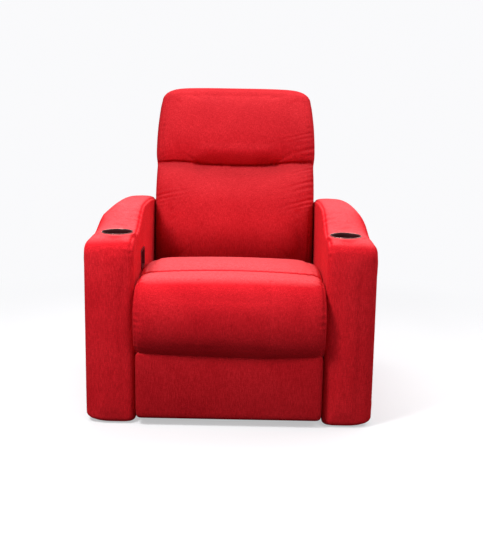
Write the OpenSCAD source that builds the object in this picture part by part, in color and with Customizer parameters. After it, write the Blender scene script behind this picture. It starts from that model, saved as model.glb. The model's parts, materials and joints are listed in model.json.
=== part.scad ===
// Reclining auditorium chair: two padded arms with cup holders, a seat that glides on rollers,
// a backrest that leans back and a footrest that folds out on links.
// The chair faces -Y. The origin is on the floor, under the middle of the chair.

/* [Arms] */
// Clear width between the two arms
seat_w = 600; // [570:1:650]
// Width of one arm
arm_w = 154; // [148:1:180]
// Depth of an arm, front to rear
arm_d = 742; // [730:1:790]
// Height of the arm at its cup holder
arm_h = 612; // [600:1:650]
// Rise of the arm top behind the cup holder
arm_rise = 60; // [40:1:70]
// How much the arm top falls again towards its rear
arm_fall = 28; // [10:1:40]
// Radius of the arm's outer padded edges
arm_edge_r = 78; // [50:1:80]
// Radius of the arm's inner padded edges
inner_edge_r = 24; // [20:1:28]
// Height of the glides under the arms
glide_h = 6; // [5:1:12]

/* [Cup holders] */
// Radius of the bore of a cup holder
cup_r = 42.5; // [38:0.5:44]
// Depth of a cup holder
cup_depth = 72; // [55:1:85]
// Distance of a cup holder's centre behind the arm front
cup_in = 90; // [86:1:100]

/* [Seat] */
// Height of the seat where it is highest, at the seam of its front roll
seat_h = 485; // [478:1:498]
// Height of the front roll
roll_h = 254; // [246:1:258]
// How far the front roll stands out in front of the arms
nose_out = 42; // [30:1:55]
// Thickness of the seat cushion behind its roll
cushion_t = 134; // [124:1:140]
// How much lower the seat is at its rear
seat_fall = 54; // [30:1:60]

/* [Back] */
// Length of the backrest from its pivot to its top
back_len = 764; // [720:1:800]
// Lean of the backrest when upright, in degrees
back_lean = 14; // [10:0.5:17]
// Thickness of the front cushion of the backrest
back_pad_t = 105; // [95:1:120]
// Thickness of the rear shell of the backrest
back_shell_t = 70; // [60:1:80]
// Share of the backrest's length at which its cross seam is sewn
seam_share = 0.614; // [0.55:0.005:0.68]

/* [Footrest] */
// Height of the folded links' knees above the floor
knee_clear = 44; // [36:1:56]
// How far the folded links reach forward from the hip pivots
fold_reach = 28; // [26:1:34]
// Thickness of the footrest pad
foot_pad_t = 47; // [40:1:50]
// Height of the footrest's lower edge above the floor
foot_clear = 24; // [18:1:34]

/* [Mechanism] */
// Slope of the seat tracks, in degrees
track_angle = 6; // [3:0.5:7]
// Radius of the seat rollers
roller_r = 14; // [12:0.5:15]
// Distance between the front and rear rollers
roller_pitch = 290; // [270:1:300]
// Thickness of the plates and links
plate_t = 4; // [3:0.5:4.5]
// Depth of the recline pivot under the seat cushion's underside
pivot_drop = 40; // [30:1:48]

/* [Hidden] */
$fn = 48;

// clearances and overruns
seat_gap = 0.3;         // between a piece and the seat that carries it
run_gap = 0.05;         // radial, between a pin and its bore
cut = 1;                // overrun of every cut
side_gap = 3;           // between the seat cushion and an arm

// arm padding and its plywood box
arm_pad_side = 14;
arm_pad_top = 22;
arm_top_r = 54;         // round of the arm's front top corner, seen from the side
arm_rear_r = 66;
arm_foot_r = 24;
foot_share = 0.32;      // how far the edge round reaches in at the arm's foot
front_share = 0.45;     // on its front and rear faces
top_share = 0.5;        // round the cup holder
hump_share = 1.35;      // and on the raised rear part of its top
outer_drop = 44;        // top of the outer board under the inner one's, where the cover is rounder
ply_t = 15;
post_t = 30;
rise_start = 56;        // from the cup holder's centre to where the arm starts to rise
rise_run = 185;
shelf_t = 18;           // shelf round the cup holder, and the floor board

// cup holder
cup_wall = 2;
cup_flange = 5.5;        // flange width outside the wall
cup_floor = 3;
cup_side = 60;          // cup centre from the arm's inner face
cup_collar = 1.5;       // flat padding round the flange
collar_h = 26;
flange_t = 2.4;
lip_r = 1.1;

// glides
glide_r = 20;
glide_in = 84;

// footrest linkage, seen from the side
hip_in = 90;            // hip pivot behind the arm front
hip_drop = 28;          // hip pivot under the front roll
link_w = 20;
link_eye_r = 12;
link_bar_in = 6;        // from a link's pivot to where its bar starts
pin_r = 5;
head_r = 8;
head_t = 2.7;
plate_pitch = 8;        // from one plate's face to the next one's
hip_boss_r = 18;

// seat carriage
plate_gap = 38;         // from an arm's inner face to the inner face of a side plate
front_roller_in = 180;
front_roller_z = 150;
axle_r = 6;
roller_w = 14;
roller_play = 3.2;      // between a roller and the web of its rail
spacer_r = 10;
board_t = 18;
board_h = 76;
side_board_h = 38;
nose_t = 129;           // thickness of the front roll, front to rear
nose_reach = 100;       // from the roll's front to where its top levels out
seam_in = 165;          // from the roll's front to its top seam
cushion_r = 42;         // round of the seat cushion's ends
cushion_crown = 9;
groove = 5;
rear_lip_r = 20;
seat_rear_in = 32;      // from the recline pivot forward to the seat cushion's rear end
roll_power = 0.86;      // below 1 the front roll's section is squarer than an ellipse
fall_power = 1.5;       // how late the seat's top falls towards its rear
deck_share = 0.2;       // how far the end round reaches in at the seat cushion's underside

// backrest, in its own frame: y away from the sitter, z along the lean, from the pivot
pivot_in = 550;
pivot_pin_r = 6;
back_gap = 5;           // between the backrest and an arm
back_front = 50;        // front face of the cushion, ahead of the pivot
back_foot = 40;         // lower edge of the cushion above the pivot
back_round = 46;
back_corner = 62;       // reach of the top corners' round across the back
back_bulge = 16;
back_taper = 16;        // how much narrower each side is at the top
shell_inset = 4;        // shell narrower than the cushion on each side
shell_wall = 10;
lower_power = 0.6;      // the smaller, the sooner the cushion is full below its seam
upper_power = 0.5;      // and above it
pad_power = 0.42;       // the smaller, the squarer the cushion's section
shell_power = 0.3;      // and the rear shell's
// levels of the back cushion below and above its seam
lower_shares = [0.2, 0.4, 0.6, 0.8, 0.92, 0.97];
upper_shares = [0.04, 0.1, 0.25, 0.5, 0.75, 1];
// places across its front, as shares of its half width
across_shares = [0, 0.16, 0.32, 0.42, 0.48, 0.54, 0.64, 0.76, 0.86, 0.93, 0.97, 0.99, 0.999];
tuft_x = 141;           // tufts in the cross seam, from the middle
tuft_r = 26;
tuft_pull = 9;
web_t = 2;
frame_t = 22;
frame_w = 50;
frame_d = 44;           // front to rear, of its uprights
bracket_w = 33;
bracket_h = 220;

// base
rail_t = 2.5;
flange_w = 20;
rail_z0 = 66;
tube_s = 25;
tube_wall = 2;
track_front = 80;       // front end of the tracks behind the arm front
track_rear = 560;
bolt_r = 4;
bolt_head_r = 7.5;
bolt_head_t = 4.2;
panel_t = 15;
panel_drop = 22;        // from the recline pivot down to the rear panel's top edge

// footrest
foot_side_gap = 6;
foot_top_gap = 12;      // between the roll's underside and the footrest pad
foot_board_t = 15;
foot_board_gap = 15;    // from the ankle pivot to the board
foot_edge_r = 18;
foot_flat_share = 0.34; // of the pad's thickness, before its front starts to round
foot_lip = 28;          // how much higher the pad's front is than its rear
foot_power = 0.45;      // the smaller, the flatter the pad's front
bracket_flange = 24;
bracket_rise = 39;      // lower end of a bracket above the pad's lower edge

// latch in the inner face of the arm at the sitter's right
latch_in = 238;
latch_drop = 115;       // under the top of the arm at the cup holder
bezel_d = 86;
bezel_h = 68;
bezel_t = 2.5;
bezel_r = 14;
pocket_d = 76;
pocket_h = 58;
pocket_depth = 26;
pocket_wall = 2;
lever_d = 46;
lever_h = 40;
lever_t = 4;
lever_pin_r = 2;
lever_lift = 2;
lever_set = 9;          // lever pivot behind the arm's face
lever_end = 8;          // and behind the pocket's front wall
cable_r = 2.5;
cable_off = 14;         // cable behind the lever's pivot
cable_turn = 26;
cable_z = 177;
ferrule_r = 5;
ferrule_l = 8;

// derived places
half_seat = seat_w / 2;
half_w = half_seat + arm_w;
back_half = half_seat - back_gap;
plate_in = half_seat - plate_gap;
nose_z = seat_h - roll_h;
deck_z = seat_h - cushion_t;
hip_z = nose_z - hip_drop;
pivot_z = deck_z - pivot_drop;
fold_angle = atan2(hip_z - knee_clear, fold_reach / 2);
link_len = (hip_z - knee_clear) / sin(fold_angle);
latch_z = arm_h - latch_drop;
bracket_leg = hip_z - foot_clear - bracket_rise;
rear_out = pivot_in + (back_pad_t + back_shell_t + seat_gap - back_front - back_round) * cos(back_lean)
    + (back_len - back_round) * sin(back_lean) + back_round;
nose_reach_out = nose_out + cushion_crown;
front = (nose_reach_out - rear_out) / 2;
hip_y = front + hip_in;
knee_y = hip_y - link_len * cos(fold_angle);
knee_z = hip_z - link_len * sin(fold_angle);
ankle_y = hip_y - 2 * link_len * cos(fold_angle);
pivot_y = front + pivot_in;
front_roller_y = front + front_roller_in;
rear_roller_y = front_roller_y + roller_pitch;
rear_roller_z = front_roller_z - roller_pitch * tan(track_angle);
seat_rear_y = pivot_y - seat_rear_in;
foot_front_y = ankle_y - foot_board_gap - foot_board_t - foot_pad_t;
foot_top_z = nose_z - foot_top_gap;
rail_face = half_seat - seat_gap;
cup_x = half_seat + cup_side;
cup_y = front + cup_in;
cup_out_r = cup_r + cup_wall;
flange_r = cup_out_r + cup_flange;
lever_pin_y = front + latch_in - pocket_d / 2 + lever_end;
lever_pin_x = -half_seat - lever_set;
cable_y = lever_pin_y + cable_off;

// bolts of each base rail, as [distance behind the arm front, height]
rail_bolt_spots = [[track_front + 5 * bolt_head_r + tube_s, rail_z0 + 2 * bolt_head_r + rail_t],
    [track_rear - 4 * tube_s, rail_z0 + 2 * bolt_head_r + rail_t],
    [(track_front + track_rear) / 2,
        track_z((track_front + track_rear) / 2) + roller_r + 2 * rail_t + bolt_head_r]];
// the back's webbing straps, as shares of its length
web_shares = [0.22, 0.4, 0.72];
// the seat's zigzag springs, as shares of the width between the side plates
spring_shares = [-0.76, -0.38, 0, 0.38, 0.76];

function unit(v) = v / norm(v);
function perp(v) = unit([v[1], -v[0]]);
// outward normal at each point of a counterclockwise outline
function normals(p) = let (n = len(p)) [for (i = [0:n - 1])
    unit(perp(p[i] - p[(i + n - 1) % n]) + perp(p[(i + 1) % n] - p[i]))];
function arc(c, r, from, to, steps) = [for (i = [0:steps]) let (a = from + (to - from) * i / steps)
    [c[0] + r * cos(a), c[1] + r * sin(a)]];
function bow(v, power) = sign(v) * pow(abs(v), power);
// outline points with the share of the edge round that each takes, running from one share to another
function weigh(points, from, to) = let (m = max(1, len(points) - 1))
    [for (i = [0:len(points) - 1]) [points[i][0], points[i][1], from + (to - from) * i / m]];
// stations across a padded piece from a to b: [place across, inset of the outline, crown from 0 to 1]
function stations(a, b, r_a, r_b, steps, mids) = concat(
    [for (j = [steps:-1:0]) let (t = 90 * j / steps) [a + r_a - r_a * sin(t), r_a * (1 - cos(t)), 0]],
    [for (i = [1:1:mids - 1]) let (s = i / mids) [a + r_a + (b - r_b - a - r_a) * s, 0, 4 * s * (1 - s)]],
    [for (j = [0:steps]) let (t = 90 * j / steps) [b - r_b + r_b * sin(t), r_b * (1 - cos(t)), 0]]);

// Closed skin over rings with the same number of points, with a fan about a hub at each end
module skin(rings, hub_a, hub_b) {
    m = len(rings);
    n = len(rings[0]);
    sides = [for (k = [0:m - 2]) for (i = [0:n - 1]) let (a = k * n + i, b = k * n + (i + 1) % n)
        each [[a, b + n, b], [a, a + n, b + n]]];
    start = [for (i = [0:n - 1]) [m * n, i, (i + 1) % n]];
    end = [for (i = [0:n - 1]) [m * n + 1, (m - 1) * n + (i + 1) % n, (m - 1) * n + i]];
    polyhedron(concat([for (r = rings) each r], [hub_a, hub_b]), concat(sides, start, end));
}

// Padded piece whose weighed side outline, in y and z, is drawn in towards both ends across the
// chair, and crowned upwards and forwards between them
module padded(outline, spots, hub, crown) {
    n = normals(outline);
    rings = [for (s = spots) [for (i = [0:len(outline) - 1]) let (p = outline[i], d = n[i] * s[1] * p[2])
        [s[0], p[0] - d[0] + crown * s[2] * min(0, n[i][0]),
        p[1] - d[1] + crown * s[2] * max(0, n[i][1])]]];
    skin(rings, [spots[0][0], hub[0], hub[1]], [spots[len(spots) - 1][0], hub[0], hub[1]]);
}

// Wire of round section along a path that lies in a plane with the normal given
module wire(path, r, sides, plane) {
    m = len(path);
    rings = [for (k = [0:m - 1])
        let (t = unit(path[min(k + 1, m - 1)] - path[max(k - 1, 0)]), side = cross(plane, t))
        [for (i = [0:sides - 1]) let (a = 360 * i / sides) path[k] + r * (side * cos(a) + plane * sin(a))]];
    skin(rings, path[0], path[m - 1]);
}

// Rod along X between two places
module rod(x0, x1, y, z, r) {
    translate([min(x0, x1), y, z]) rotate([0, 90, 0]) cylinder(h = abs(x1 - x0), r = r);
}

// Block between two corners
module block(a, b) {
    translate([min(a[0], b[0]), min(a[1], b[1]), min(a[2], b[2])])
        cube([abs(b[0] - a[0]), abs(b[1] - a[1]), abs(b[2] - a[2])]);
}

// Plate across X whose outline is given in y and z
module plate(points, x0, x1) {
    translate([min(x0, x1), 0, 0]) rotate([90, 0, 90]) linear_extrude(height = abs(x1 - x0)) polygon(points);
}

// Moves pieces from the backrest's own frame to the chair
module on_back() {
    translate([0, pivot_y, pivot_z]) rotate([-back_lean, 0, 0]) children();
}

// Arms
arm_rear_y = front + arm_d;
arm_top = arm_h + arm_rise;
rise_y = cup_y + rise_start;
crest_y = rise_y + rise_run;
fall_run = arm_rear_y - arm_rear_r - crest_y;
arm_outline = concat(
    weigh(arc([front + arm_foot_r, glide_h + arm_foot_r], arm_foot_r, 180, 270, 4),
        front_share, foot_share),
    weigh(arc([arm_rear_y - arm_foot_r, glide_h + arm_foot_r], arm_foot_r, 270, 360, 4),
        foot_share, front_share),
    weigh(arc([arm_rear_y - arm_rear_r, arm_top - arm_fall - arm_rear_r], arm_rear_r, 0, 80, 5),
        front_share, hump_share),
    weigh([for (i = [1:3]) let (t = i / 4)
        [arm_rear_y - arm_rear_r - fall_run * t, arm_top - arm_fall * pow(1 - t, 2)]],
        hump_share, hump_share),
    weigh([for (i = [0:7]) let (t = i / 7)
        [crest_y - rise_run * t, arm_top - arm_rise * (1 - cos(180 * t)) / 2]],
        hump_share, top_share),
    weigh(arc([front + arm_top_r, arm_h - arm_top_r], arm_top_r, 90, 180, 5), top_share, front_share));
// the same outline drawn in by a wall
function inside(wall) = let (n = normals(arm_outline)) [for (i = [0:len(arm_outline) - 1])
    [arm_outline[i][0] - n[i][0] * wall, arm_outline[i][1] - n[i][1] * wall]];
arm_hub = [front + arm_d / 2, arm_h / 2];
arm_stations = stations(half_seat, half_w, inner_edge_r, arm_edge_r, 4, 1);

// room or board at the arm's outer side
module outer_core(outline, x0, x1) {
    intersection() {
        plate(outline, x0, x1);
        translate([0, 0, -outer_drop]) plate(outline, x0, x1);
    }
}

function arm_spots(side) = side > 0 ? arm_stations
    : [for (i = [len(arm_stations) - 1:-1:0]) [-arm_stations[i][0], arm_stations[i][1], 0]];

module rail_bolt_holes(side, r) {
    for (s = rail_bolt_spots)
        rod(side * (half_seat - arm_pad_side), side * (half_seat + arm_pad_side + ply_t + cut),
            front + s[0], s[1], r);
}

module latch_cut(grow) {
    block([-half_seat + cut, front + latch_in - pocket_d / 2 - grow, latch_z - pocket_h / 2 - grow],
        [-half_seat - arm_pad_side - ply_t - cut, front + latch_in + pocket_d / 2 + grow,
        latch_z + pocket_h / 2 + grow]);
}

module cable_hole(r) {
    rod(-rail_face + rail_t + cut, -half_seat - arm_pad_side - ply_t - cut, cable_y, cable_z, r);
}

module arm_cover(side) {
    color("crimson") difference() {
        union() {
            padded(arm_outline, arm_spots(side), arm_hub, 0);
            translate([side * cup_x, cup_y, arm_h - collar_h])
                cylinder(h = collar_h, r = flange_r + cup_collar);
        }
        plate(inside(arm_pad_top), side * (half_seat + arm_pad_side), side * (half_w - arm_pad_side - ply_t));
        outer_core(inside(arm_pad_top), side * (half_w - arm_pad_side - ply_t - cut),
            side * (half_w - arm_pad_side));
        cup_cut(side);
        rail_bolt_holes(side, bolt_r + seat_gap);
        if (side < 0) latch_cut(seat_gap);
        if (side < 0) cable_hole(cable_r + seat_gap);
    }
}

module cup_cut(side) {
    translate([side * cup_x, cup_y, arm_h - cup_depth - cup_floor])
        cylinder(h = cup_depth + arm_top_r, r = cup_out_r + seat_gap);
}

module arm_frame(side) {
    inner = half_seat + arm_pad_side + seat_gap;
    outer = half_w - arm_pad_side - seat_gap;
    a = inner + ply_t;
    b = outer - ply_t;
    core = inside(arm_pad_top + seat_gap);
    y0 = front + arm_pad_top + seat_gap;
    y1 = arm_rear_y - arm_pad_top - seat_gap;
    foot_z = glide_h + arm_pad_top + seat_gap;
    post_z = foot_z + arm_foot_r;
    shelf_z = arm_h - arm_pad_top - seat_gap;
    color("burlywood") difference() {
        union() {
            plate(core, side * inner, side * a);
            outer_core(core, side * b, side * outer);
            block([side * a, y0, post_z], [side * b, y0 + ply_t, arm_h - arm_top_r]);
            block([side * a, y1 - post_t, post_z], [side * b, y1, arm_h - arm_rear_r]);
            block([side * a, y0 + arm_foot_r, foot_z], [side * b, y1 - arm_foot_r, foot_z + shelf_t]);
            block([side * a, y0 + arm_top_r, shelf_z - shelf_t], [side * b, rise_y, shelf_z]);
            block([side * (b - ply_t), y0 + arm_top_r, shelf_z - shelf_t - outer_drop - ply_t],
                [side * b, rise_y, shelf_z - shelf_t]);
        }
        rail_bolt_holes(side, bolt_r + seat_gap);
        cup_cut(side);
        if (side < 0) latch_cut(seat_gap);
        if (side < 0) cable_hole(cable_r + seat_gap);
    }
}

module cup_holder(side) {
    color("dimgray") translate([side * cup_x, cup_y, arm_h]) difference() {
        union() {
            translate([0, 0, -cup_depth - cup_floor + seat_gap])
                cylinder(h = cup_depth + cup_floor - seat_gap, r = cup_out_r);
            cylinder(h = flange_t - lip_r, r = flange_r);
            translate([0, 0, flange_t - lip_r]) cylinder(h = lip_r, r = flange_r - lip_r);
        }
        translate([0, 0, -cup_depth]) cylinder(h = cup_depth + flange_t + cut, r = cup_r);
    }
}

module arm_glides() {
    color("black") for (side = [-1, 1], y = [front + glide_in, arm_rear_y - glide_in])
        translate([side * (half_seat + arm_w / 2), y, 0]) {
            cylinder(h = glide_h / 2, r = glide_r - lip_r);
            translate([0, 0, glide_h / 2]) cylinder(h = glide_h / 2, r = glide_r);
        }
}

// Base: rails, cross tubes and rear panel
track_h = 2 * (roller_r + seat_gap);

module along_track() {
    translate([0, front_roller_y, front_roller_z]) rotate([-track_angle, 0, 0]) children();
}

function track_z(in) = front_roller_z - (in - front_roller_in) * tan(track_angle);

module base_rail(side) {
    web = side * (rail_face - rail_t);
    color("darkslategray") {
        difference() {
            union() {
                plate([[front + track_front, rail_z0], [front + track_rear, rail_z0],
                    [front + track_rear, track_z(track_rear) + roller_r + rail_t + tube_s],
                    [front + track_front, track_z(track_front) + roller_r + rail_t + tube_s]],
                    web, side * rail_face);
                along_track() {
                    for (z = [-track_h / 2 - rail_t, track_h / 2])
                        block([web, track_front - front_roller_in, z],
                            [web - side * flange_w, track_rear - front_roller_in - 2 * rail_t, z + rail_t]);
                }
            }
            for (s = rail_bolt_spots)
                rod(side * (rail_face + cut), side * (rail_face - rail_t - cut), front + s[0], s[1],
                    bolt_r + run_gap);
            if (side < 0) cable_hole(cable_r + seat_gap);
        }
    }
}

module cross_tube(y) {
    x = rail_face - rail_t;
    color("darkslategray") difference() {
        block([-x, y, rail_z0 + cut], [x, y + tube_s, rail_z0 + cut + tube_s]);
        block([-x - cut, y + tube_wall, rail_z0 + cut + tube_wall],
            [x + cut, y + tube_s - tube_wall, rail_z0 + cut + tube_s - tube_wall]);
    }
}

module bolt(side, face, y, z, reach) {
    rod(side * face, side * (face - bolt_head_t), y, z, bolt_head_r);
    rod(side * (face - bolt_head_t / 2), side * (face + reach), y, z, bolt_r);
}

module rail_bolts() {
    color("silver") for (side = [-1, 1], s = rail_bolt_spots)
        bolt(side, rail_face - rail_t, front + s[0], s[1], rail_t + arm_pad_side + ply_t);
}

panel_y = arm_rear_y - panel_t - ply_t;
panel_top = pivot_z - panel_drop;

module rear_panel() {
    color("crimson")
        block([-rail_face, panel_y, foot_clear + panel_t], [rail_face, panel_y + panel_t, panel_top]);
}

module rear_cleats() {
    color("burlywood") for (side = [-1, 1])
        block([side * rail_face, panel_y, foot_clear + tube_s],
            [side * (rail_face - tube_s), panel_y - tube_s, panel_top - panel_t]);
}

// Latch and release cable
module rounded_bar(x0, x1, y, z, d, h, r) {
    translate([min(x0, x1), y, z]) rotate([90, 0, 90]) linear_extrude(height = abs(x1 - x0)) union() {
        square([d - 2 * r, h], center = true);
        square([d, h - 2 * r], center = true);
        for (a = [-1, 1], b = [-1, 1]) translate([a * (d / 2 - r), b * (h / 2 - r)]) circle(r = r);
    }
}

module latch_bezel() {
    y = front + latch_in;
    face = -half_seat;
    color("maroon") difference() {
        union() {
            rounded_bar(face, face + bezel_t, y, latch_z, bezel_d, bezel_h, bezel_r);
            block([face, y - pocket_d / 2, latch_z - pocket_h / 2],
                [face - pocket_depth, y + pocket_d / 2, latch_z + pocket_h / 2]);
        }
        block([face + bezel_t + cut, y - pocket_d / 2 + pocket_wall,
            latch_z - pocket_h / 2 + pocket_wall],
            [face - pocket_depth + pocket_wall, y + pocket_d / 2 - pocket_wall,
            latch_z + pocket_h / 2 - pocket_wall]);
        translate([lever_pin_x, lever_pin_y, latch_z - pocket_h])
            cylinder(h = 2 * pocket_h, r = lever_pin_r + run_gap);
        rod(face - pocket_depth - cut, face - pocket_depth + pocket_wall + cut, cable_y, latch_z,
            cable_r + seat_gap);
    }
}

module latch_pin() {
    color("silver") translate([lever_pin_x, lever_pin_y, latch_z - pocket_h / 2])
        cylinder(h = pocket_h, r = lever_pin_r);
}

module latch_lever() {
    hub_r = lever_pin_r + lever_t / 2;
    z0 = latch_z - lever_h / 2 + lever_lift;
    color("maroon") difference() {
        union() {
            translate([lever_pin_x, lever_pin_y, z0]) cylinder(h = lever_h, r = hub_r);
            block([lever_pin_x, lever_pin_y, z0],
                [lever_pin_x + lever_t, lever_pin_y + lever_d, z0 + lever_h]);
        }
        translate([lever_pin_x, lever_pin_y, z0 - cut])
            cylinder(h = lever_h + 2 * cut, r = lever_pin_r + run_gap);
    }
}

cable_x = -half_seat - pocket_depth - cable_turn;
cable_path = concat(
    [[-half_seat - pocket_depth + pocket_wall, cable_y, latch_z],
        [-half_seat - pocket_depth - cable_turn / 4, cable_y, latch_z]],
    [for (p = arc([cable_x + cable_turn / 2, latch_z - cable_turn / 2], cable_turn / 2, 90, 180, 5))
        [p[0], cable_y, p[1]]],
    [for (p = arc([cable_x + cable_turn, cable_z + cable_turn], cable_turn, 180, 270, 6))
        [p[0], cable_y, p[1]]],
    [[-rail_face + rail_t + ferrule_l, cable_y, cable_z]]);

module release_cable() {
    color("black") union() {
        wire(cable_path, cable_r, 8, [0, 1, 0]);
        rod(-rail_face + rail_t + run_gap, -rail_face + rail_t + ferrule_l, cable_y, cable_z, ferrule_r);
    }
}

// Seat carriage
module side_plate(side) {
    a = side * plate_in;
    b = side * (plate_in + plate_t);
    lobe = axle_r + 2 * plate_t;
    top = deck_z - 2 * seat_gap;
    color("slategray") difference() {
        union() {
            plate([[hip_y - hip_boss_r / 2, hip_z - hip_boss_r / 2],
                [front_roller_y - lobe, front_roller_z - lobe / 2],
                [front_roller_y + lobe, front_roller_z - lobe / 2],
                [front_roller_y + 3 * lobe, pivot_z - board_h],
                [rear_roller_y - 3 * lobe, pivot_z - board_h], [rear_roller_y - lobe, rear_roller_z],
                [rear_roller_y + lobe, rear_roller_z], [pivot_y, pivot_z - hip_boss_r + cut],
                [pivot_y, pivot_z + hip_boss_r - cut], [seat_rear_y - rear_lip_r, top],
                [hip_y + hip_boss_r, top], [hip_y + hip_boss_r, hip_z + hip_boss_r + cut],
                [hip_y, hip_z + hip_boss_r - cut]], a, b);
            rod(a, b, hip_y, hip_z, hip_boss_r);
            rod(a, b, pivot_y, pivot_z, hip_boss_r);
            rod(a, b, front_roller_y, front_roller_z, lobe);
            rod(a, b, rear_roller_y, rear_roller_z, lobe);
        }
        rod(a - side * cut, b + side * cut, hip_y, hip_z, pin_r + run_gap);
        rod(a - side * cut, b + side * cut, pivot_y, pivot_z, pivot_pin_r + run_gap);
        rod(a - side * cut, b + side * cut, front_roller_y, front_roller_z, axle_r + run_gap);
        rod(a - side * cut, b + side * cut, rear_roller_y, rear_roller_z, axle_r + run_gap);
    }
}

seat_front_y = front - nose_out + nose_t + seat_gap;

module seat_board(y) {
    color("burlywood")
        block([-plate_in, y, deck_z - seat_gap - board_h], [plate_in, y + board_t, deck_z - seat_gap]);
}

module side_board(side) {
    color("burlywood") block([side * plate_in, seat_front_y + board_t, deck_z - seat_gap - side_board_h],
        [side * (plate_in - board_t), seat_rear_board_y, deck_z - seat_gap]);
}

seat_rear_board_y = seat_rear_y - 2 * board_t;
spring_wire = 1.9;
spring_half = 24;
spring_turns = 9;
spring_steps = 5;
spring_z = deck_z - seat_gap - board_t;
spring_y0 = seat_front_y + board_t + spring_wire;
spring_y1 = seat_rear_board_y - spring_wire;
spring_step = (spring_y1 - spring_y0) / (spring_turns + 1);
// one zigzag spring: half turns joined by straight runs across the seat
spring_path = concat([[0, spring_y0, spring_z], [0, spring_y0 + spring_step / 2, spring_z]],
    [for (k = [0:spring_turns - 1]) let (s = k % 2 == 0 ? 1 : -1, c = spring_y0 + spring_step * (k + 1))
        for (j = [0:spring_steps]) let (a = -90 + 180 * j / spring_steps)
            [s * (spring_half - spring_step / 2 + spring_step / 2 * cos(a)),
            c + spring_step / 2 * sin(a), spring_z]],
    [[0, spring_y1 - spring_step / 2, spring_z], [0, spring_y1, spring_z]]);

module seat_springs() {
    color("silver") for (s = spring_shares)
        translate([s * (plate_in - board_t - spring_half), 0, 0])
            wire(spring_path, spring_wire, 6, [0, 0, 1]);
}

module spring_clips() {
    clip = 3 * spring_wire;
    slot = spring_wire + seat_gap;
    color("black") for (s = spring_shares, e = [-1, 1])
        translate([s * (plate_in - board_t - spring_half),
            e < 0 ? seat_front_y + board_t : seat_rear_board_y, spring_z]) difference() {
                block([-clip, 0, -clip], [clip, -e * clip, clip]);
                block([-slot, e * cut, -slot], [slot, -e * (clip + cut), slot]);
            }
}

// side outline of the seat cushion: top from rear to front, round the roll, and back along the deck
nose_y = front - nose_out;
seat_round_y = seat_rear_y - rear_lip_r;
seat_seam_y = nose_y + seam_in;
seat_outline = concat(
    weigh(arc([seat_round_y, seat_h - seat_fall - rear_lip_r], rear_lip_r, 0, 80, 2),
        deck_share, 2 * deck_share),
    weigh([for (i = [1:6]) let (t = i / 6) [seat_round_y + (seat_seam_y + groove - seat_round_y) * t,
        seat_h - seat_fall * pow(1 - t, fall_power) - (i == 6 ? groove / 2 : 0)]], 2 * deck_share, 1),
    weigh([[seat_seam_y, seat_h - groove], [seat_seam_y - 2 * groove, seat_h - groove / 5]], 1, 1),
    weigh([for (i = [0:12]) let (a = 90 + 15 * i) [nose_y + nose_reach + nose_reach * bow(cos(a), roll_power),
        nose_z + roll_h / 2 + roll_h / 2 * bow(sin(a), roll_power)]], 1, deck_share),
    weigh([[nose_y + nose_t - rear_lip_r, nose_z]], deck_share, deck_share),
    weigh(arc([nose_y + nose_t - rear_lip_r / 2, nose_z + rear_lip_r / 2], rear_lip_r / 2, 280, 360, 2),
        deck_share, deck_share),
    weigh([[nose_y + nose_t, deck_z], [seat_round_y, deck_z], [seat_rear_y, deck_z + rear_lip_r]],
        deck_share, deck_share));

module seat_cushion() {
    half = half_seat - side_gap;
    color("crimson") padded(seat_outline, stations(-half, half, cushion_r, cushion_r, 5, 6),
        [nose_y + nose_reach, deck_z + roll_h / 4], cushion_crown);
}

// Shouldered rivet through a carrying plate and a moving plate beside it
module rivet(side, carry, moving, y, z, r, gap_face) {
    color("silver") {
        rod(side * (moving - seat_gap - head_t / 2), side * (carry + plate_t + head_t / 2), y, z, r);
        rod(side * (carry + plate_t), side * (carry + plate_t + head_t), y, z, head_r);
        rod(side * (moving - seat_gap - head_t), side * (moving - seat_gap), y, z, head_r);
        if (gap_face > moving + plate_t + seat_gap)
            rod(side * (moving + plate_t + seat_gap), side * gap_face, y, z, head_r);
    }
}

hip_link_x = plate_in - plate_pitch;
knee_link_x = hip_link_x - plate_pitch;
bracket_x = knee_link_x - plate_pitch;
back_bracket_x = plate_in - plate_t - seat_gap;

module recline_pins() {
    for (side = [-1, 1]) rivet(side, plate_in, back_bracket_x, pivot_y, pivot_z, pivot_pin_r, 0);
}

module hip_rivets() {
    for (side = [-1, 1]) rivet(side, plate_in, hip_link_x, hip_y, hip_z, pin_r, plate_in);
}

// outer end of the axles and rollers
roller_end = rail_face - rail_t - roller_play;

module axle(y, z) {
    color("silver") rod(-roller_end, roller_end, y, z, axle_r);
}

module rollers(y, z) {
    color("black") for (side = [-1, 1]) difference() {
        union() {
            rod(side * (roller_end - roller_w), side * roller_end, y, z, roller_r);
            rod(side * (plate_in + plate_t + seat_gap), side * (roller_end - roller_w + cut), y, z, spacer_r);
        }
        rod(side * (plate_in + plate_t - cut), side * (roller_end + cut), y, z, axle_r + run_gap);
    }
}

// Footrest links
module link(side, x, y0, z0, y1, z1) {
    length = norm([y1 - y0, z1 - z0]);
    angle = atan2(z1 - z0, y1 - y0);
    color("slategray") translate([min(side * x, side * (x + plate_t)), 0, 0]) rotate([90, 0, 90])
        linear_extrude(height = plate_t) difference() {
            union() {
                translate([y0, z0]) circle(r = link_eye_r);
                translate([y1, z1]) circle(r = link_eye_r);
                translate([y0, z0]) rotate(angle) translate([link_bar_in, -link_w / 2])
                    square([length - 2 * link_bar_in, link_w]);
            }
            translate([y0, z0]) circle(r = pin_r + run_gap);
            translate([y1, z1]) circle(r = pin_r + run_gap);
            children();
        }
}

tube_r = 7;
tube_share = 0.19;      // cross tube's place along the link
tube_y = hip_y - tube_share * link_len * cos(fold_angle);
tube_z = hip_z - tube_share * link_len * sin(fold_angle);

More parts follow.
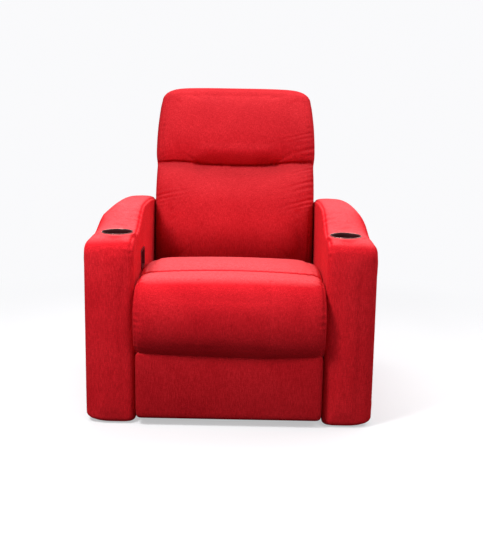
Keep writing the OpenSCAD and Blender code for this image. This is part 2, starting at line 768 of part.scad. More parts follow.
module hip_link(side) {
    link(side, hip_link_x, hip_y, hip_z, knee_y, knee_z)
        translate([tube_y, tube_z]) circle(r = tube_r + run_gap);
}

module link_cross_tube() {
    color("slategray") difference() {
        rod(-hip_link_x - plate_t, hip_link_x + plate_t, tube_y, tube_z, tube_r);
        rod(-hip_link_x - plate_t - cut, hip_link_x + plate_t + cut, tube_y, tube_z, tube_r - tube_wall);
    }
}

module knee_rivets() {
    for (side = [-1, 1]) rivet(side, hip_link_x, knee_link_x, knee_y, knee_z, pin_r, hip_link_x);
}

module knee_link(side) {
    link(side, knee_link_x, knee_y, knee_z, ankle_y, hip_z);
}

module ankle_rivets() {
    for (side = [-1, 1]) rivet(side, knee_link_x, bracket_x, ankle_y, hip_z, pin_r, knee_link_x);
}

// Footrest
foot_board_y = ankle_y - foot_board_gap;
foot_half = half_seat - foot_side_gap;
foot_bolt_z = [hip_z - link_eye_r - bracket_flange, hip_z - bracket_leg + bracket_flange / 2];

module foot_bracket(side) {
    a = side * bracket_x;
    b = side * (bracket_x + plate_t);
    color("slategray") difference() {
        union() {
            rod(a, b, ankle_y, hip_z, link_eye_r);
            block([a, ankle_y, hip_z - bracket_leg], [b, foot_board_y, hip_z + link_eye_r / 2]);
            block([a, foot_board_y, hip_z - bracket_leg],
                [side * (bracket_x - bracket_flange), foot_board_y + plate_t, hip_z - 2 * link_eye_r]);
        }
        rod(a - side * cut, b + side * cut, ankle_y, hip_z, pin_r + run_gap);
        for (z = foot_bolt_z)
            translate([side * (bracket_x - bracket_flange / 2), foot_board_y + plate_t + cut, z])
            rotate([90, 0, 0]) cylinder(h = plate_t + 2 * cut, r = bolt_r + run_gap);
    }
}

module foot_board() {
    color("burlywood") difference() {
        block([-foot_half + foot_edge_r / 2, foot_board_y, foot_clear + foot_edge_r / 2],
            [foot_half - foot_edge_r / 2, foot_board_y - foot_board_t, foot_top_z - foot_edge_r / 3]);
        for (side = [-1, 1], z = foot_bolt_z)
            translate([side * (bracket_x - bracket_flange / 2), foot_board_y + cut, z])
            rotate([90, 0, 0]) cylinder(h = foot_board_t + 2 * cut, r = bolt_r + run_gap);
    }
}

module foot_bolts() {
    color("silver") for (side = [-1, 1], z = foot_bolt_z)
        translate([side * (bracket_x - bracket_flange / 2), foot_board_y + plate_t, z]) {
            rotate([-90, 0, 0]) cylinder(h = bolt_head_t, r = bolt_head_r);
            translate([0, bolt_head_t / 2, 0]) rotate([90, 0, 0])
                cylinder(h = plate_t + foot_board_t - 2 * seat_gap, r = bolt_r);
        }
}

foot_back_y = foot_board_y - foot_board_t - seat_gap;
foot_mid_z = (foot_clear + foot_top_z) / 2;
foot_half_h = (foot_top_z - foot_clear) / 2;
foot_flat_y = foot_back_y - foot_pad_t * foot_flat_share;
// how much the pad's upper edge is raised at a height and distance in front of its rear face
function lip(y, z) = foot_lip * pow(max(0, z - foot_mid_z) / foot_half_h, 2)
    * (foot_back_y - y) / foot_pad_t;
// side outline of the footrest pad: flat where it rests on its board, crowned in front
foot_outline = concat(
    [[foot_back_y, foot_top_z]],
    [for (i = [0:10]) let (a = 90 + 18 * i,
        y = foot_flat_y + foot_pad_t * (1 - foot_flat_share) * bow(cos(a), foot_power),
        z = foot_mid_z + foot_half_h * bow(sin(a), foot_power)) [y, z + lip(y, z)]],
    [[foot_back_y, foot_clear]]);

module foot_pad() {
    spots = stations(-foot_half, foot_half, foot_edge_r, foot_edge_r, 3, 4);
    rings = [for (s = spots) [for (p = foot_outline) [s[0],
        foot_back_y + (p[0] - foot_back_y) * (1 - s[1] / foot_pad_t),
        foot_mid_z + (p[1] - foot_mid_z) * (1 - s[1] / foot_half_h)]]];
    hub = [0, foot_back_y - foot_edge_r / 2, foot_mid_z];
    color("crimson") skin(rings, [-foot_half, hub[1], hub[2]], [foot_half, hub[1], hub[2]]);
}

// Backrest, in its own frame
back_split = back_pad_t - back_front;
frame_x = back_bracket_x - seat_gap;
frame_y = back_split + seat_gap + web_t;
seam_z = back_len * seam_share;
crest = back_len - back_round;
frame_top = crest - shell_wall;

// fullness of the back cushion between its foot, seam and top, from 0 to 1
function fullness(z) = z < seam_z ? pow(sin(180 * (z - back_foot) / (seam_z - back_foot)), lower_power)
    : pow(max(0, sin(180 * min(1, (z - seam_z) / (back_len - seam_z)))), upper_power);
// half width of the back cushion, narrower towards its top
function back_side(z) = back_half - back_taper * pow(max(0, (z - seam_z) / (crest - seam_z)), 2);
// how far the two hidden tufts draw the cushion's front in at a place
function tuft(x, z) = tuft_pull * exp(-(pow(abs(x) - tuft_x, 2) + pow(z - seam_z, 2)) / pow(tuft_r, 2));
function front_point(share, z, half, depth) = [half * share, back_split + tuft(half * share, z)
    - depth * pow(1 - pow(abs(share), 2 / pad_power), pad_power / 2), z];
// ring of the back cushion: flat behind, rounded in front
function back_ring(z, half, depth) = concat([[-half, back_split, z]],
    [for (i = [len(across_shares) - 1:-1:1]) front_point(-across_shares[i], z, half, depth)],
    [for (share = across_shares) front_point(share, z, half, depth)], [[half, back_split, z]]);
function pad_depth(z) = back_pad_t - back_bulge / 2 + back_bulge * fullness(z);
cushion_levels = concat([back_foot + rear_lip_r / 4, back_foot + rear_lip_r],
    [for (t = lower_shares) back_foot + rear_lip_r + t * (seam_z - back_foot - rear_lip_r)],
    [seam_z], [for (t = upper_shares) seam_z + t * (crest - seam_z)]);

module back_cushion() {
    foot_half_w = back_half - rear_lip_r / 2;
    rings = concat([back_ring(back_foot, foot_half_w, pad_depth(back_foot) - rear_lip_r / 2)],
        [for (z = cushion_levels) back_ring(z, back_side(z), pad_depth(z))],
        [for (j = [1:4]) let (a = 90 * j / 4) back_ring(crest + back_round * sin(a),
            back_side(crest) - back_corner * (1 - cos(a)), pad_depth(crest) - back_round * (1 - cos(a)))]);
    mid = back_split - back_pad_t / 2;
    color("crimson") on_back() skin(rings, [0, mid, back_foot], [0, mid, back_len]);
}

function shell_side(z) = back_side(z) - shell_inset;
function shell_ring(z, half, depth) = [for (i = [0:20]) let (a = 9 * i)
    [half * bow(cos(a), shell_power), back_split + seat_gap + depth * bow(sin(a), shell_power), z]];

module back_shell() {
    foot = back_foot - bracket_w / 3;
    lip = rear_lip_r / 4;
    rings = concat([shell_ring(foot, shell_side(foot) - lip, back_shell_t - lip)],
        [for (z = [foot + lip, seam_z / 2, seam_z, (seam_z + crest) / 2, crest])
            shell_ring(z, shell_side(z), back_shell_t)],
        [for (j = [1:4]) let (a = 90 * j / 4) shell_ring(crest + back_round * sin(a),
            shell_side(crest) - back_corner * (1 - cos(a)), back_shell_t - back_round * (1 - cos(a)))]);
    mid = back_split + back_shell_t / 6;
    color("crimson") on_back() difference() {
        skin(rings, [0, mid, foot], [0, mid, back_len]);
        block([-shell_side(crest) + shell_wall, back_split - cut, foot - cut],
            [shell_side(crest) - shell_wall, frame_y + frame_d + seat_gap, crest]);
    }
}

module back_frame() {
    rails = [back_foot + rear_lip_r, seam_z - frame_w / 2, frame_top - frame_w];
    color("burlywood") on_back() difference() {
        union() {
            for (side = [-1, 1])
                block([side * frame_x, frame_y, back_foot],
                    [side * (frame_x - frame_t), frame_y + frame_d, frame_top]);
            for (z = rails)
                block([-frame_x + frame_t, frame_y, z], [frame_x - frame_t, frame_y + frame_t, z + frame_w]);
        }
        bracket_bolt_cuts(bolt_r + run_gap);
    }
}

module back_webbing() {
    color("dimgray") on_back() for (s = web_shares)
        block([-frame_x + frame_t / 2, frame_y - web_t, s * back_len],
            [frame_x - frame_t / 2, frame_y, s * back_len + frame_w]);
}

bracket_bolt_z = [back_foot + bracket_w, bracket_h - bracket_w / 2];
bracket_y0 = frame_y + frame_t / 3;

module bracket_bolt_cuts(r) {
    for (z = bracket_bolt_z) rod(-plate_in, plate_in, bracket_y0 + bracket_w / 2, z, r);
}

module back_bracket(side) {
    a = side * back_bracket_x;
    b = side * (back_bracket_x + plate_t);
    color("slategray") on_back() difference() {
        union() {
            rod(a, b, 0, 0, bracket_w / 2);
            block([a, 0, -bracket_w / 2 + cut], [b, bracket_y0 + bracket_w, bracket_w / 2 - cut]);
            block([a, bracket_y0, -bracket_w / 2 + cut], [b, bracket_y0 + bracket_w, bracket_h]);
        }
        rod(a - side * cut, b + side * cut, 0, 0, pivot_pin_r + run_gap);
        bracket_bolt_cuts(bolt_r + run_gap);
    }
}

module bracket_bolts() {
    face = back_bracket_x + plate_t;
    y = bracket_y0 + bracket_w / 2;
    color("silver") on_back() for (side = [-1, 1], z = bracket_bolt_z) {
        rod(side * face, side * (face + head_t), y, z, bolt_head_r);
        rod(side * (face + head_t / 2), side * (frame_x - frame_t + cut), y, z, bolt_r);
    }
}

arm_cover(-1);  // left_arm_cover
arm_cover(1);  // right_arm_cover
arm_frame(-1);  // left_arm_frame
arm_frame(1);  // right_arm_frame
cup_holder(-1);  // left_cup_holder
cup_holder(1);  // right_cup_holder
arm_glides();
base_rail(-1);  // left_base_rail
base_rail(1);  // right_base_rail
cross_tube(front + track_front + tube_s);  // front_cross_tube
cross_tube(front + track_rear - 2 * tube_s);  // rear_cross_tube
rail_bolts();
rear_panel();
rear_cleats();
latch_bezel();
latch_pin();
release_cable();
side_plate(-1);  // left_side_plate
side_plate(1);  // right_side_plate
seat_board(seat_front_y);  // seat_front_board
seat_board(seat_rear_board_y);  // seat_rear_board
side_board(-1);  // left_seat_board
side_board(1);  // right_seat_board
seat_springs();
spring_clips();
seat_cushion();
recline_pins();
hip_rivets();
axle(front_roller_y, front_roller_z);  // front_axle
rollers(front_roller_y, front_roller_z);  // front_rollers
axle(rear_roller_y, rear_roller_z);  // rear_axle
rollers(rear_roller_y, rear_roller_z);  // rear_rollers
hip_link(-1);  // left_hip_link
hip_link(1);  // right_hip_link
link_cross_tube();
knee_rivets();
knee_link(-1);  // left_knee_link
knee_link(1);  // right_knee_link
ankle_rivets();
foot_bracket(-1);  // left_foot_bracket
foot_bracket(1);  // right_foot_bracket
foot_board();
foot_pad();
foot_bolts();
back_frame();
back_webbing();
back_cushion();
back_shell();
back_bracket(-1);  // left_back_bracket
back_bracket(1);  // right_back_bracket
bracket_bolts();
latch_lever();
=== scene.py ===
"""Reclining auditorium chair: the visual model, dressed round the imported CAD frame.

The chair faces -Y and stands on the floor at Z = 0. Everything is in metres.
"""
import json
import logging
import math
from dataclasses import dataclass, field
from enum import Enum
from typing import Callable, Optional, Sequence

import bpy
import numpy as np
from mathutils import Matrix, Vector
from mathutils.bvhtree import BVHTree
from mathutils.kdtree import KDTree


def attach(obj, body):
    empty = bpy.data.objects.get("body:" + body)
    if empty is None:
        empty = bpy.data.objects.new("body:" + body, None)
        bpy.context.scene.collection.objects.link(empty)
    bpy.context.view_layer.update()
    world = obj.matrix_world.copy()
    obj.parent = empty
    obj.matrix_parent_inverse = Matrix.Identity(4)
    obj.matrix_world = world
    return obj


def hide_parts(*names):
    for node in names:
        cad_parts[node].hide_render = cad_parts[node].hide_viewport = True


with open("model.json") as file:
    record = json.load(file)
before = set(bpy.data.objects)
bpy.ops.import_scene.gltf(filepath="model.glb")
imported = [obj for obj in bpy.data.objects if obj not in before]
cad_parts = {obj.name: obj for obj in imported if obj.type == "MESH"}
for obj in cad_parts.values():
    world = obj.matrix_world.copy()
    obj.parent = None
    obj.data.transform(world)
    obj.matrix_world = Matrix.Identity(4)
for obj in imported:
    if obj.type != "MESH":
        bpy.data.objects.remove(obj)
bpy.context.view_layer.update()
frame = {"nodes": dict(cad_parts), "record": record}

LOG = logging.getLogger("chair")
Array = np.ndarray
Object = bpy.types.Object
Material = bpy.types.Material
Socket = bpy.types.NodeSocket
Triple = tuple[float, float, float]
Pair = tuple[float, float]


class Slot(Enum):
    """Material slots of the record."""

    UPHOLSTERY = "upholstery"
    PLYWOOD = "plywood"
    CUP = "cup_metal"
    GLIDE = "glide_plastic"
    STEEL = "black_frame"
    ZINC = "zinc_steel"
    ROLLER = "roller_plastic"
    LATCH = "latch_plastic"
    CABLE = "cable_jacket"
    WEBBING = "webbing"


class Body(Enum):
    """CAD bodies that the new pieces ride on."""

    BASE = "base"
    SEAT = "seat"
    FOOTREST = "footrest"
    BACKREST = "backrest"


class Side(Enum):
    """The two sides of the chair, seen from the front."""

    LEFT = -1
    RIGHT = 1


# Node trees

class Tree:
    """The node tree of a material or of the world."""

    def __init__(self, owner: Material | bpy.types.World) -> None:
        """Empty the owner's tree."""
        owner.use_nodes = True
        self.nodes, self.links = owner.node_tree.nodes, owner.node_tree.links
        self.nodes.clear()

    def node(self, kind: str, inputs: dict[str | int, object], **settings: object) -> bpy.types.Node:
        """Add a node.

        Args:
            kind: Its type, without the leading ShaderNode.
            inputs: Value or source of each input, by name or number.
            settings: Its properties.

        Returns:
            The new node.
        """
        node = self.nodes.new(f"ShaderNode{kind}")
        for key, value in settings.items():
            setattr(node, key, value)
        for key, value in inputs.items():
            if isinstance(value, Socket):
                self.links.new(value, node.inputs[key])
            else:
                node.inputs[key].default_value = value
        return node

    def math(self, kind: str, a: Socket, b: Socket | float) -> Socket:
        """Return a sum, product or other operation on two values."""
        return self.node("Math", {0: a, 1: b}, operation=kind).outputs[0]

    def height(self, vector: Socket) -> Socket:
        """Return the Z of a vector."""
        return self.node("SeparateXYZ", {0: vector}).outputs["Z"]

    def span(self, value: Socket, low: float, high: float, start: float = 0.0, end: float = 1.0,
             kind: str = "LINEAR") -> Socket:
        """Map a value that runs from start to end onto a range.

        Args:
            value: What is mapped.
            low: Result at the start.
            high: Result at the end.
            start: First value.
            end: Last value.
            kind: LINEAR or SMOOTHSTEP.

        Returns:
            The result's socket.
        """
        inputs = {"Value": value, "From Min": start, "From Max": end, "To Min": low, "To Max": high}
        return self.node("MapRange", inputs, interpolation_type=kind).outputs[0]

    def seen(self) -> Socket:
        """Return 1 for what the camera sees, also by reflection or through glass, otherwise 0."""
        rays = self.node("LightPath", {}).outputs
        either = self.math("MAXIMUM", rays["Is Camera Ray"], rays["Is Glossy Ray"])
        return self.math("MAXIMUM", either, rays["Is Transmission Ray"])


class Shader(Tree):
    """A material with a Principled shader."""

    def __init__(self, name: str, **values: object) -> None:
        """Start the material; an underscore in a value's name stands for a space."""
        self.material = bpy.data.materials.new(name)
        super().__init__(self.material)
        inputs = {key.replace("_", " "): value for key, value in values.items()}
        self.principled = self.node("BsdfPrincipled", inputs)
        self.output = self.node("OutputMaterial", {"Surface": self.principled.outputs[0]})
        self.place = self.node("TexCoord", {}).outputs["Object"]

    def noise(self, scale: float, detail: float = 2.0, rough: float = 0.5,
              stretch: Optional[Triple] = None) -> Socket:
        """Return a noise factor.

        Args:
            scale: Repeats per metre.
            detail: Octaves.
            rough: Weight of the finer octaves.
            stretch: Scale of the coordinates along each axis.

        Returns:
            The noise factor's socket.
        """
        place = self.place
        if stretch:
            place = self.node("Mapping", {"Vector": place, "Scale": stretch}).outputs[0]
        inputs = {"Vector": place, "Scale": scale, "Detail": detail, "Roughness": rough}
        return self.node("TexNoise", inputs).outputs["Fac"]

    def wave(self, scale: float, axis: str, distortion: float) -> Socket:
        """Return the factor of bands across an axis."""
        inputs = {"Vector": self.place, "Scale": scale, "Distortion": distortion}
        return self.node("TexWave", inputs, bands_direction=axis).outputs["Fac"]

    def ramp(self, factor: Socket, stops: Sequence[tuple[float, Triple]]) -> Socket:
        """Return a colour ramp over a factor.

        Args:
            factor: What is mapped.
            stops: Pairs of place and colour.

        Returns:
            The ramp's colour socket.
        """
        node = self.node("ValToRGB", {"Fac": factor})
        elements = node.color_ramp.elements
        while len(elements) < len(stops):
            elements.new(1.0)
        for element, (place, colour) in zip(elements, stops):
            element.position = place
            element.color = (*colour, 1.0)
        return node.outputs["Color"]

    def mix(self, factor: Socket | float, a: Socket, b: Socket | tuple[float, ...],
            kind: str = "MIX") -> Socket:
        """Return two colours mixed, with a factor for the share of the second one."""
        return self.node("Mix", {0: factor, 6: a, 7: b}, data_type="RGBA", blend_type=kind).outputs[2]

    def done(self, colour: Socket, dull: Socket, rough: Pair, relief: Socket, bump: Pair) -> Material:
        """Drive the shader.

        Args:
            colour: Base colour.
            dull: Factor of the roughness.
            rough: Roughness at a factor of 0 and of 1.
            relief: Height factor of the surface.
            bump: Share of the relief, and the metres that a factor of 1 stands for.

        Returns:
            The finished material.
        """
        strength, distance = bump
        raised = self.node("Bump", {"Strength": strength, "Distance": distance, "Height": relief})
        for name, socket in (("Base Color", colour), ("Roughness", self.span(dull, *rough)),
                             ("Normal", raised.outputs[0])):
            self.links.new(socket, self.principled.inputs[name])
        return self.material


# Finishes

@dataclass(frozen=True)
class Velvet:
    """Short-napped chenille velvet with fine slubs, a nap sheen and a pale painted highlight on faces that
    look up.
    """

    name: str = "red_velvet"
    deep: Triple = (0.560, 0.0105, 0.0175)
    plain: Triple = (0.605, 0.0130, 0.0200)
    light: Triple = (0.650, 0.0160, 0.0240)
    # painted highlight: pale colour mixed in on faces that look up, standing in for strong light from above
    painted_top_highlight: Triple = (0.70, 0.075, 0.085)
    # painted shade: a factor below 1 darkens the whole velvet, for darker copies of the same fabric
    shade: float = 1.0
    # share of the painted highlight where a face looks straight up, and the normal height where it starts
    lay: float = 0.85
    painted_highlight_from: float = 0.55
    sheen: float = 0.07
    sheen_colour: Triple = (1.0, 0.30, 0.32)
    cloud: float = 6.0
    threads: float = 480.0
    slubs: float = 520.0
    fibres: float = 1400.0
    relief: float = 0.0016
    # painted shade towards the foot: height where it is darkest, height where it ends, and the darkest factor
    painted_foot_shade: Optional[Triple] = None

    def make(self) -> Material:
        """Build the material."""
        t = Shader(self.name, Specular_IOR_Level=0.0, Sheen_Weight=self.sheen, Sheen_Roughness=0.35,
                   Sheen_Tint=(*self.sheen_colour, 1.0))
        cloud = t.noise(self.cloud, 3.0, 0.55)
        warp = t.noise(self.threads, 2.0, 0.6, (1.0, 1.0, 0.12))
        weft = t.noise(self.threads, 2.0, 0.6, (0.2, 0.2, 1.0))
        slub = t.noise(self.slubs, 3.0, 0.7)
        nap = t.noise(self.fibres, 2.0, 0.6)
        lines = t.math("ADD", t.math("MULTIPLY", warp, 0.42), t.math("MULTIPLY", weft, 0.18))
        weave = t.math("ADD", lines, t.math("MULTIPLY", slub, 0.40))
        base = t.ramp(cloud, [(0.30, self.deep), (0.5, self.plain), (0.70, self.light)])
        # the painted shade factor scales the whole colour
        low, mid, high = 0.76 * self.shade, 0.98 * self.shade, 1.21 * self.shade
        grain = t.ramp(weave, [(0.40, (low, low * 0.9, low * 0.9)), (0.50, (mid, mid, mid)),
                               (0.60, (high, high * 1.2, high * 1.2))])
        # painted highlight: faces that look up are mixed towards a paler pink, standing in for strong light
        # from above
        up = t.height(t.node("NewGeometry", {}).outputs["Normal"])
        flat = t.span(up, 0.0, self.lay, self.painted_highlight_from, 1.0, "SMOOTHSTEP")
        colour = t.mix(1.0, t.mix(flat, base, (*self.painted_top_highlight, 1.0)), grain, "MULTIPLY")
        if self.painted_foot_shade:
            # painted shade: darker towards the foot, standing in for the shadow where the back meets the seat
            foot, clear, least = self.painted_foot_shade
            share = t.span(t.height(t.place), 0.0, 1.0, foot, clear, "SMOOTHSTEP")
            depth = t.ramp(share, [(0.0, (least, least * 0.8, least * 0.8)), (1.0, (1.0, 1.0, 1.0))])
            colour = t.mix(1.0, colour, depth, "MULTIPLY")
        pile = t.math("ADD", weave, t.math("MULTIPLY", nap, 0.3))
        return t.done(colour, slub, (0.74, 0.95), pile, (0.6, self.relief))


@dataclass(frozen=True)
class Thread:
    """Sewing thread a shade darker than the velvet."""

    name: str = "red_thread"
    colour: Triple = (0.30, 0.004, 0.008)

    def make(self) -> Material:
        """Build the material."""
        t = Shader(self.name, Specular_IOR_Level=0.35)
        ply = t.wave(900.0, "DIAGONAL", 0.4)
        dark = tuple(c * 0.6 for c in self.colour)
        return t.done(t.ramp(ply, [(0.2, dark), (0.8, self.colour)]), ply, (0.5, 0.75), ply, (0.4, 0.0003))


@dataclass(frozen=True)
class Metal:
    """Steel that is painted, plated or brushed."""

    name: str
    colour: Triple
    worn: Triple
    metallic: float
    rough: Pair
    brushed: Triple = (1.0, 1.0, 1.0)
    grain: float = 260.0
    relief: float = 0.00012

    def make(self) -> Material:
        """Build the material."""
        t = Shader(self.name, Metallic=self.metallic)
        haze = t.noise(14.0, 5.0, 0.6)
        fine = t.noise(self.grain, 3.0, 0.6, self.brushed)
        dull = t.math("MULTIPLY", t.math("ADD", haze, fine), 0.5)
        colour = t.ramp(haze, [(0.25, self.worn), (0.6, self.colour)])
        return t.done(colour, dull, self.rough, fine, (0.35, self.relief))


@dataclass(frozen=True)
class Plywood:
    """Raw birch plywood with long grain and a few darker lines."""

    name: str = "raw_plywood"
    pale: Triple = (0.62, 0.44, 0.26)
    dark: Triple = (0.42, 0.26, 0.13)

    def make(self) -> Material:
        """Build the material."""
        t = Shader(self.name, Specular_IOR_Level=0.35)
        grain = t.noise(26.0, 6.0, 0.62, (1.0, 9.0, 9.0))
        fibre = t.noise(300.0, 2.0, 0.5, (0.15, 1.0, 1.0))
        colour = t.mix(0.35, t.ramp(grain, [(0.34, self.dark), (0.58, self.pale)]),
                       t.ramp(fibre, [(0.3, self.dark), (0.7, self.pale)]))
        return t.done(colour, grain, (0.55, 0.8), t.math("ADD", grain, fibre), (0.3, 0.0004))


@dataclass(frozen=True)
class Moulding:
    """Moulded plastic or rubber with a fine grained face."""

    name: str
    colour: Triple
    rough: Pair = (0.38, 0.58)
    gloss: float = 0.45
    grain: float = 900.0

    def make(self) -> Material:
        """Build the material."""
        t = Shader(self.name, Specular_IOR_Level=self.gloss)
        pebble = t.noise(self.grain, 3.0, 0.55)
        scuff = t.noise(30.0, 5.0, 0.65)
        dull = tuple(c * 0.78 for c in self.colour)
        colour = t.ramp(scuff, [(0.3, dull), (0.62, self.colour)])
        return t.done(colour, scuff, self.rough, pebble, (0.35, 0.0002))


@dataclass(frozen=True)
class Strap:
    """Woven webbing strap."""

    name: str = "woven_strap"
    colour: Triple = (0.16, 0.15, 0.14)

    def make(self) -> Material:
        """Build the material."""
        t = Shader(self.name)
        weave = t.math("MULTIPLY", t.wave(160.0, "Z", 0.6), t.wave(110.0, "X", 0.6))
        dark = tuple(c * 0.45 for c in self.colour)
        colour = t.ramp(weave, [(0.1, dark), (0.7, self.colour)])
        return t.done(colour, weave, (0.75, 0.95), weave, (0.6, 0.0006))


def look(finish: Velvet | Thread | Metal | Plywood | Moulding | Strap) -> Material:
    """Return a dataclass field that holds a finish's material."""
    return field(default_factory=finish.make)


@dataclass
class Finishes:
    """Every finish of the chair, made once."""

    velvet: Material = look(Velvet())
    # the seat, back and pad velvets are darker copies of one fabric, which is painted shade; the back is also
    # painted darker at its foot
    seat_velvet: Material = look(Velvet("red_velvet_seat", shade=0.94, lay=0.9, painted_highlight_from=0.74))
    back_velvet: Material = look(Velvet(
        "red_velvet_back", shade=0.75, lay=0.28, painted_highlight_from=-0.2, painted_foot_shade=(0.425, 0.600, 0.42)))
    pad_velvet: Material = look(Velvet("red_velvet_pad_painted_shade", shade=0.80))
    thread: Material = look(Thread())
    plywood: Material = look(Plywood())
    strap: Material = look(Strap())
    painted: Material = look(Metal(
        "satin_black_steel", (0.035, 0.035, 0.038), (0.06, 0.058, 0.056), 0.25, (0.36, 0.6)))
    zinc: Material = look(Metal("zinc_plate", (0.56, 0.57, 0.6), (0.40, 0.40, 0.42), 1.0, (0.24, 0.46)))
    rim: Material = look(Metal(
        "bronzed_rim", (0.30, 0.13, 0.12), (0.20, 0.085, 0.08), 1.0, (0.26, 0.42), (1.0, 1.0, 8.0)))
    # dark moulded well with a red tint that is painted reflection of the velvet round it
    well: Material = look(Moulding("dark_cup_well", (0.030, 0.004, 0.005), (0.55, 0.7), 0.08))
    glide: Material = look(Moulding("black_glide", (0.03, 0.03, 0.032)))
    nylon: Material = look(Moulding("grey_nylon", (0.12, 0.12, 0.125), (0.3, 0.5)))
    latch: Material = look(Moulding("dark_red_plastic", (0.12, 0.004, 0.009), (0.3, 0.46)))
    jacket: Material = look(Moulding("cable_jacket", (0.02, 0.02, 0.021), (0.4, 0.55)))

    def of(self, slot: Slot) -> Material:
        """Return the finish of a CAD node's slot."""
        return {Slot.UPHOLSTERY: self.velvet, Slot.PLYWOOD: self.plywood, Slot.CUP: self.rim,
                Slot.GLIDE: self.glide, Slot.STEEL: self.painted, Slot.ZINC: self.zinc,
                Slot.ROLLER: self.nylon, Slot.LATCH: self.latch, Slot.CABLE: self.jacket,
                Slot.WEBBING: self.strap}[slot]


# Numbers and points

def rows(*columns: float | Array) -> Array:
    """Return coordinates as rows of points, where a bare number holds for every point."""
    return np.stack(np.broadcast_arrays(*columns), axis=1)


def ramp(value: float | Array, start: float, length: float) -> float | Array:
    """Return how far a value is along a run, from 0 at its start to 1 at its end."""
    return np.clip((value - start) / length, 0, 1)


def ease(share: float | Array) -> float | Array:
    """Return a share from 0 to 1 with soft ends."""
    return share * share * (3 - 2 * share)


def bell(value: Array, width: float) -> Array:
    """Return 1 at a value of 0, fading to both sides over a width."""
    return np.exp(-(value / width) ** 2)


def bow(value: float | Array, power: float) -> float | Array:
    """Return a value raised to a power with its sign kept."""
    return np.copysign(np.abs(value) ** power, value)


def arc(centre: Pair, radius: float, start: float, end: float, steps: int) -> list[Pair]:
    """Return points on an arc.

    Args:
        centre: Its centre.
        radius: Its radius.
        start: First angle in degrees.
        end: Last angle in degrees.
        steps: Number of steps between them.

    Returns:
        The points, first to last.
    """
    angles = [math.radians(start + (end - start) * i / steps) for i in range(steps + 1)]
    return [(centre[0] + radius * math.cos(a), centre[1] + radius * math.sin(a)) for a in angles]


def circle(x: float, y: float, z: float, radius: float, count: int = 96) -> Array:
    """Return a level circle of points."""
    angles = np.linspace(0, 2 * math.pi, count, endpoint=False)
    return rows(x + radius * np.cos(angles), y + radius * np.sin(angles), z)


def travel(path: Array) -> Array:
    """Return how far along a path each of its points is."""
    steps = np.linalg.norm(np.diff(path, axis=0), axis=1)
    return np.concatenate([[0.0], np.cumsum(steps)])


# Meshes

class Mesh:
    """Calls that make, read and write meshes."""

    BOX = [(0, 1, 3, 2), (4, 6, 7, 5), (0, 4, 5, 1), (2, 3, 7, 6), (0, 2, 6, 4), (1, 5, 7, 3)]

    @staticmethod
    def build(name: str, points: Sequence[Sequence[float]], faces: Sequence[Sequence[int]]) -> Object:
        """Make an object from points and faces.

        Args:
            name: Name of the object and its mesh.
            points: Vertices, one row each.
            faces: Vertex numbers of each face.

        Returns:
            The new object, smooth shaded and in the scene.
        """
        data = bpy.data.meshes.new(name)
        data.from_pydata([tuple(p) for p in points], [], [tuple(f) for f in faces])
        data.validate()
        obj = bpy.data.objects.new(name, data)
        bpy.context.scene.collection.objects.link(obj)
        Mesh.smooth(obj)
        return obj

    @staticmethod
    def smooth(obj: Object) -> None:
        """Shade every face smooth."""
        obj.data.polygons.foreach_set("use_smooth", [True] * len(obj.data.polygons))
        obj.data.update()

    @staticmethod
    def read(items: bpy.types.bpy_prop_collection, name: str) -> Array:
        """Return one vector of every item as rows."""
        flat = np.empty(len(items) * 3, np.float32)
        items.foreach_get(name, flat)
        return flat.reshape(-1, 3).astype(np.float64)

    @staticmethod
    def points(obj: Object) -> Array:
        """Return the vertices as rows."""
        return Mesh.read(obj.data.vertices, "co")

    @staticmethod
    def normals(obj: Object) -> Array:
        """Return the vertex normals as rows."""
        return Mesh.read(obj.data.vertex_normals, "vector")

    @staticmethod
    def move(obj: Object, points: Array) -> None:
        """Write the vertices back."""
        obj.data.vertices.foreach_set("co", points.astype(np.float32).ravel())
        obj.data.update()

    @staticmethod
    def apply(obj: Object, kind: str, **settings: object) -> Object:
        """Apply one modifier.

        Args:
            obj: Object to change.
            kind: Type of the modifier.
            settings: Its properties.

        Returns:
            The same object with its new mesh, smooth shaded.
        """
        mod = obj.modifiers.new(kind.lower(), kind)
        for key, value in settings.items():
            setattr(mod, key, value)
        graph = bpy.context.evaluated_depsgraph_get()
        made = bpy.data.meshes.new_from_object(obj.evaluated_get(graph))
        obj.modifiers.clear()
        old = obj.data
        obj.data = made
        bpy.data.meshes.remove(old)
        Mesh.smooth(obj)
        return obj

    @staticmethod
    def finer(obj: Object) -> Object:
        """Subdivide smoothly and return the object."""
        return Mesh.apply(obj, "SUBSURF", levels=1, render_levels=1)

    @staticmethod
    def relax(obj: Object, repeat: int) -> Object:
        """Smooth out facets and return the object."""
        return Mesh.apply(obj, "SMOOTH", factor=0.5, iterations=repeat)

    @staticmethod
    def cut(obj: Object, cutter: Object) -> None:
        """Cut a closed form out of a mesh and delete it."""
        Mesh.apply(obj, "BOOLEAN", operation="DIFFERENCE", solver="EXACT", object=cutter)
        bpy.data.objects.remove(cutter)

    @staticmethod
    def dress(obj: Object, body: Body, slot: Slot, finish: Material) -> Object:
        """Give a piece its finish and body.

        Args:
            obj: The piece.
            body: CAD body it rides on.
            slot: Not used.
            finish: Its material.

        Returns:
            The same object.
        """
        obj.data.materials.clear()
        obj.data.materials.append(finish)
        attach(obj, body.value)
        return obj


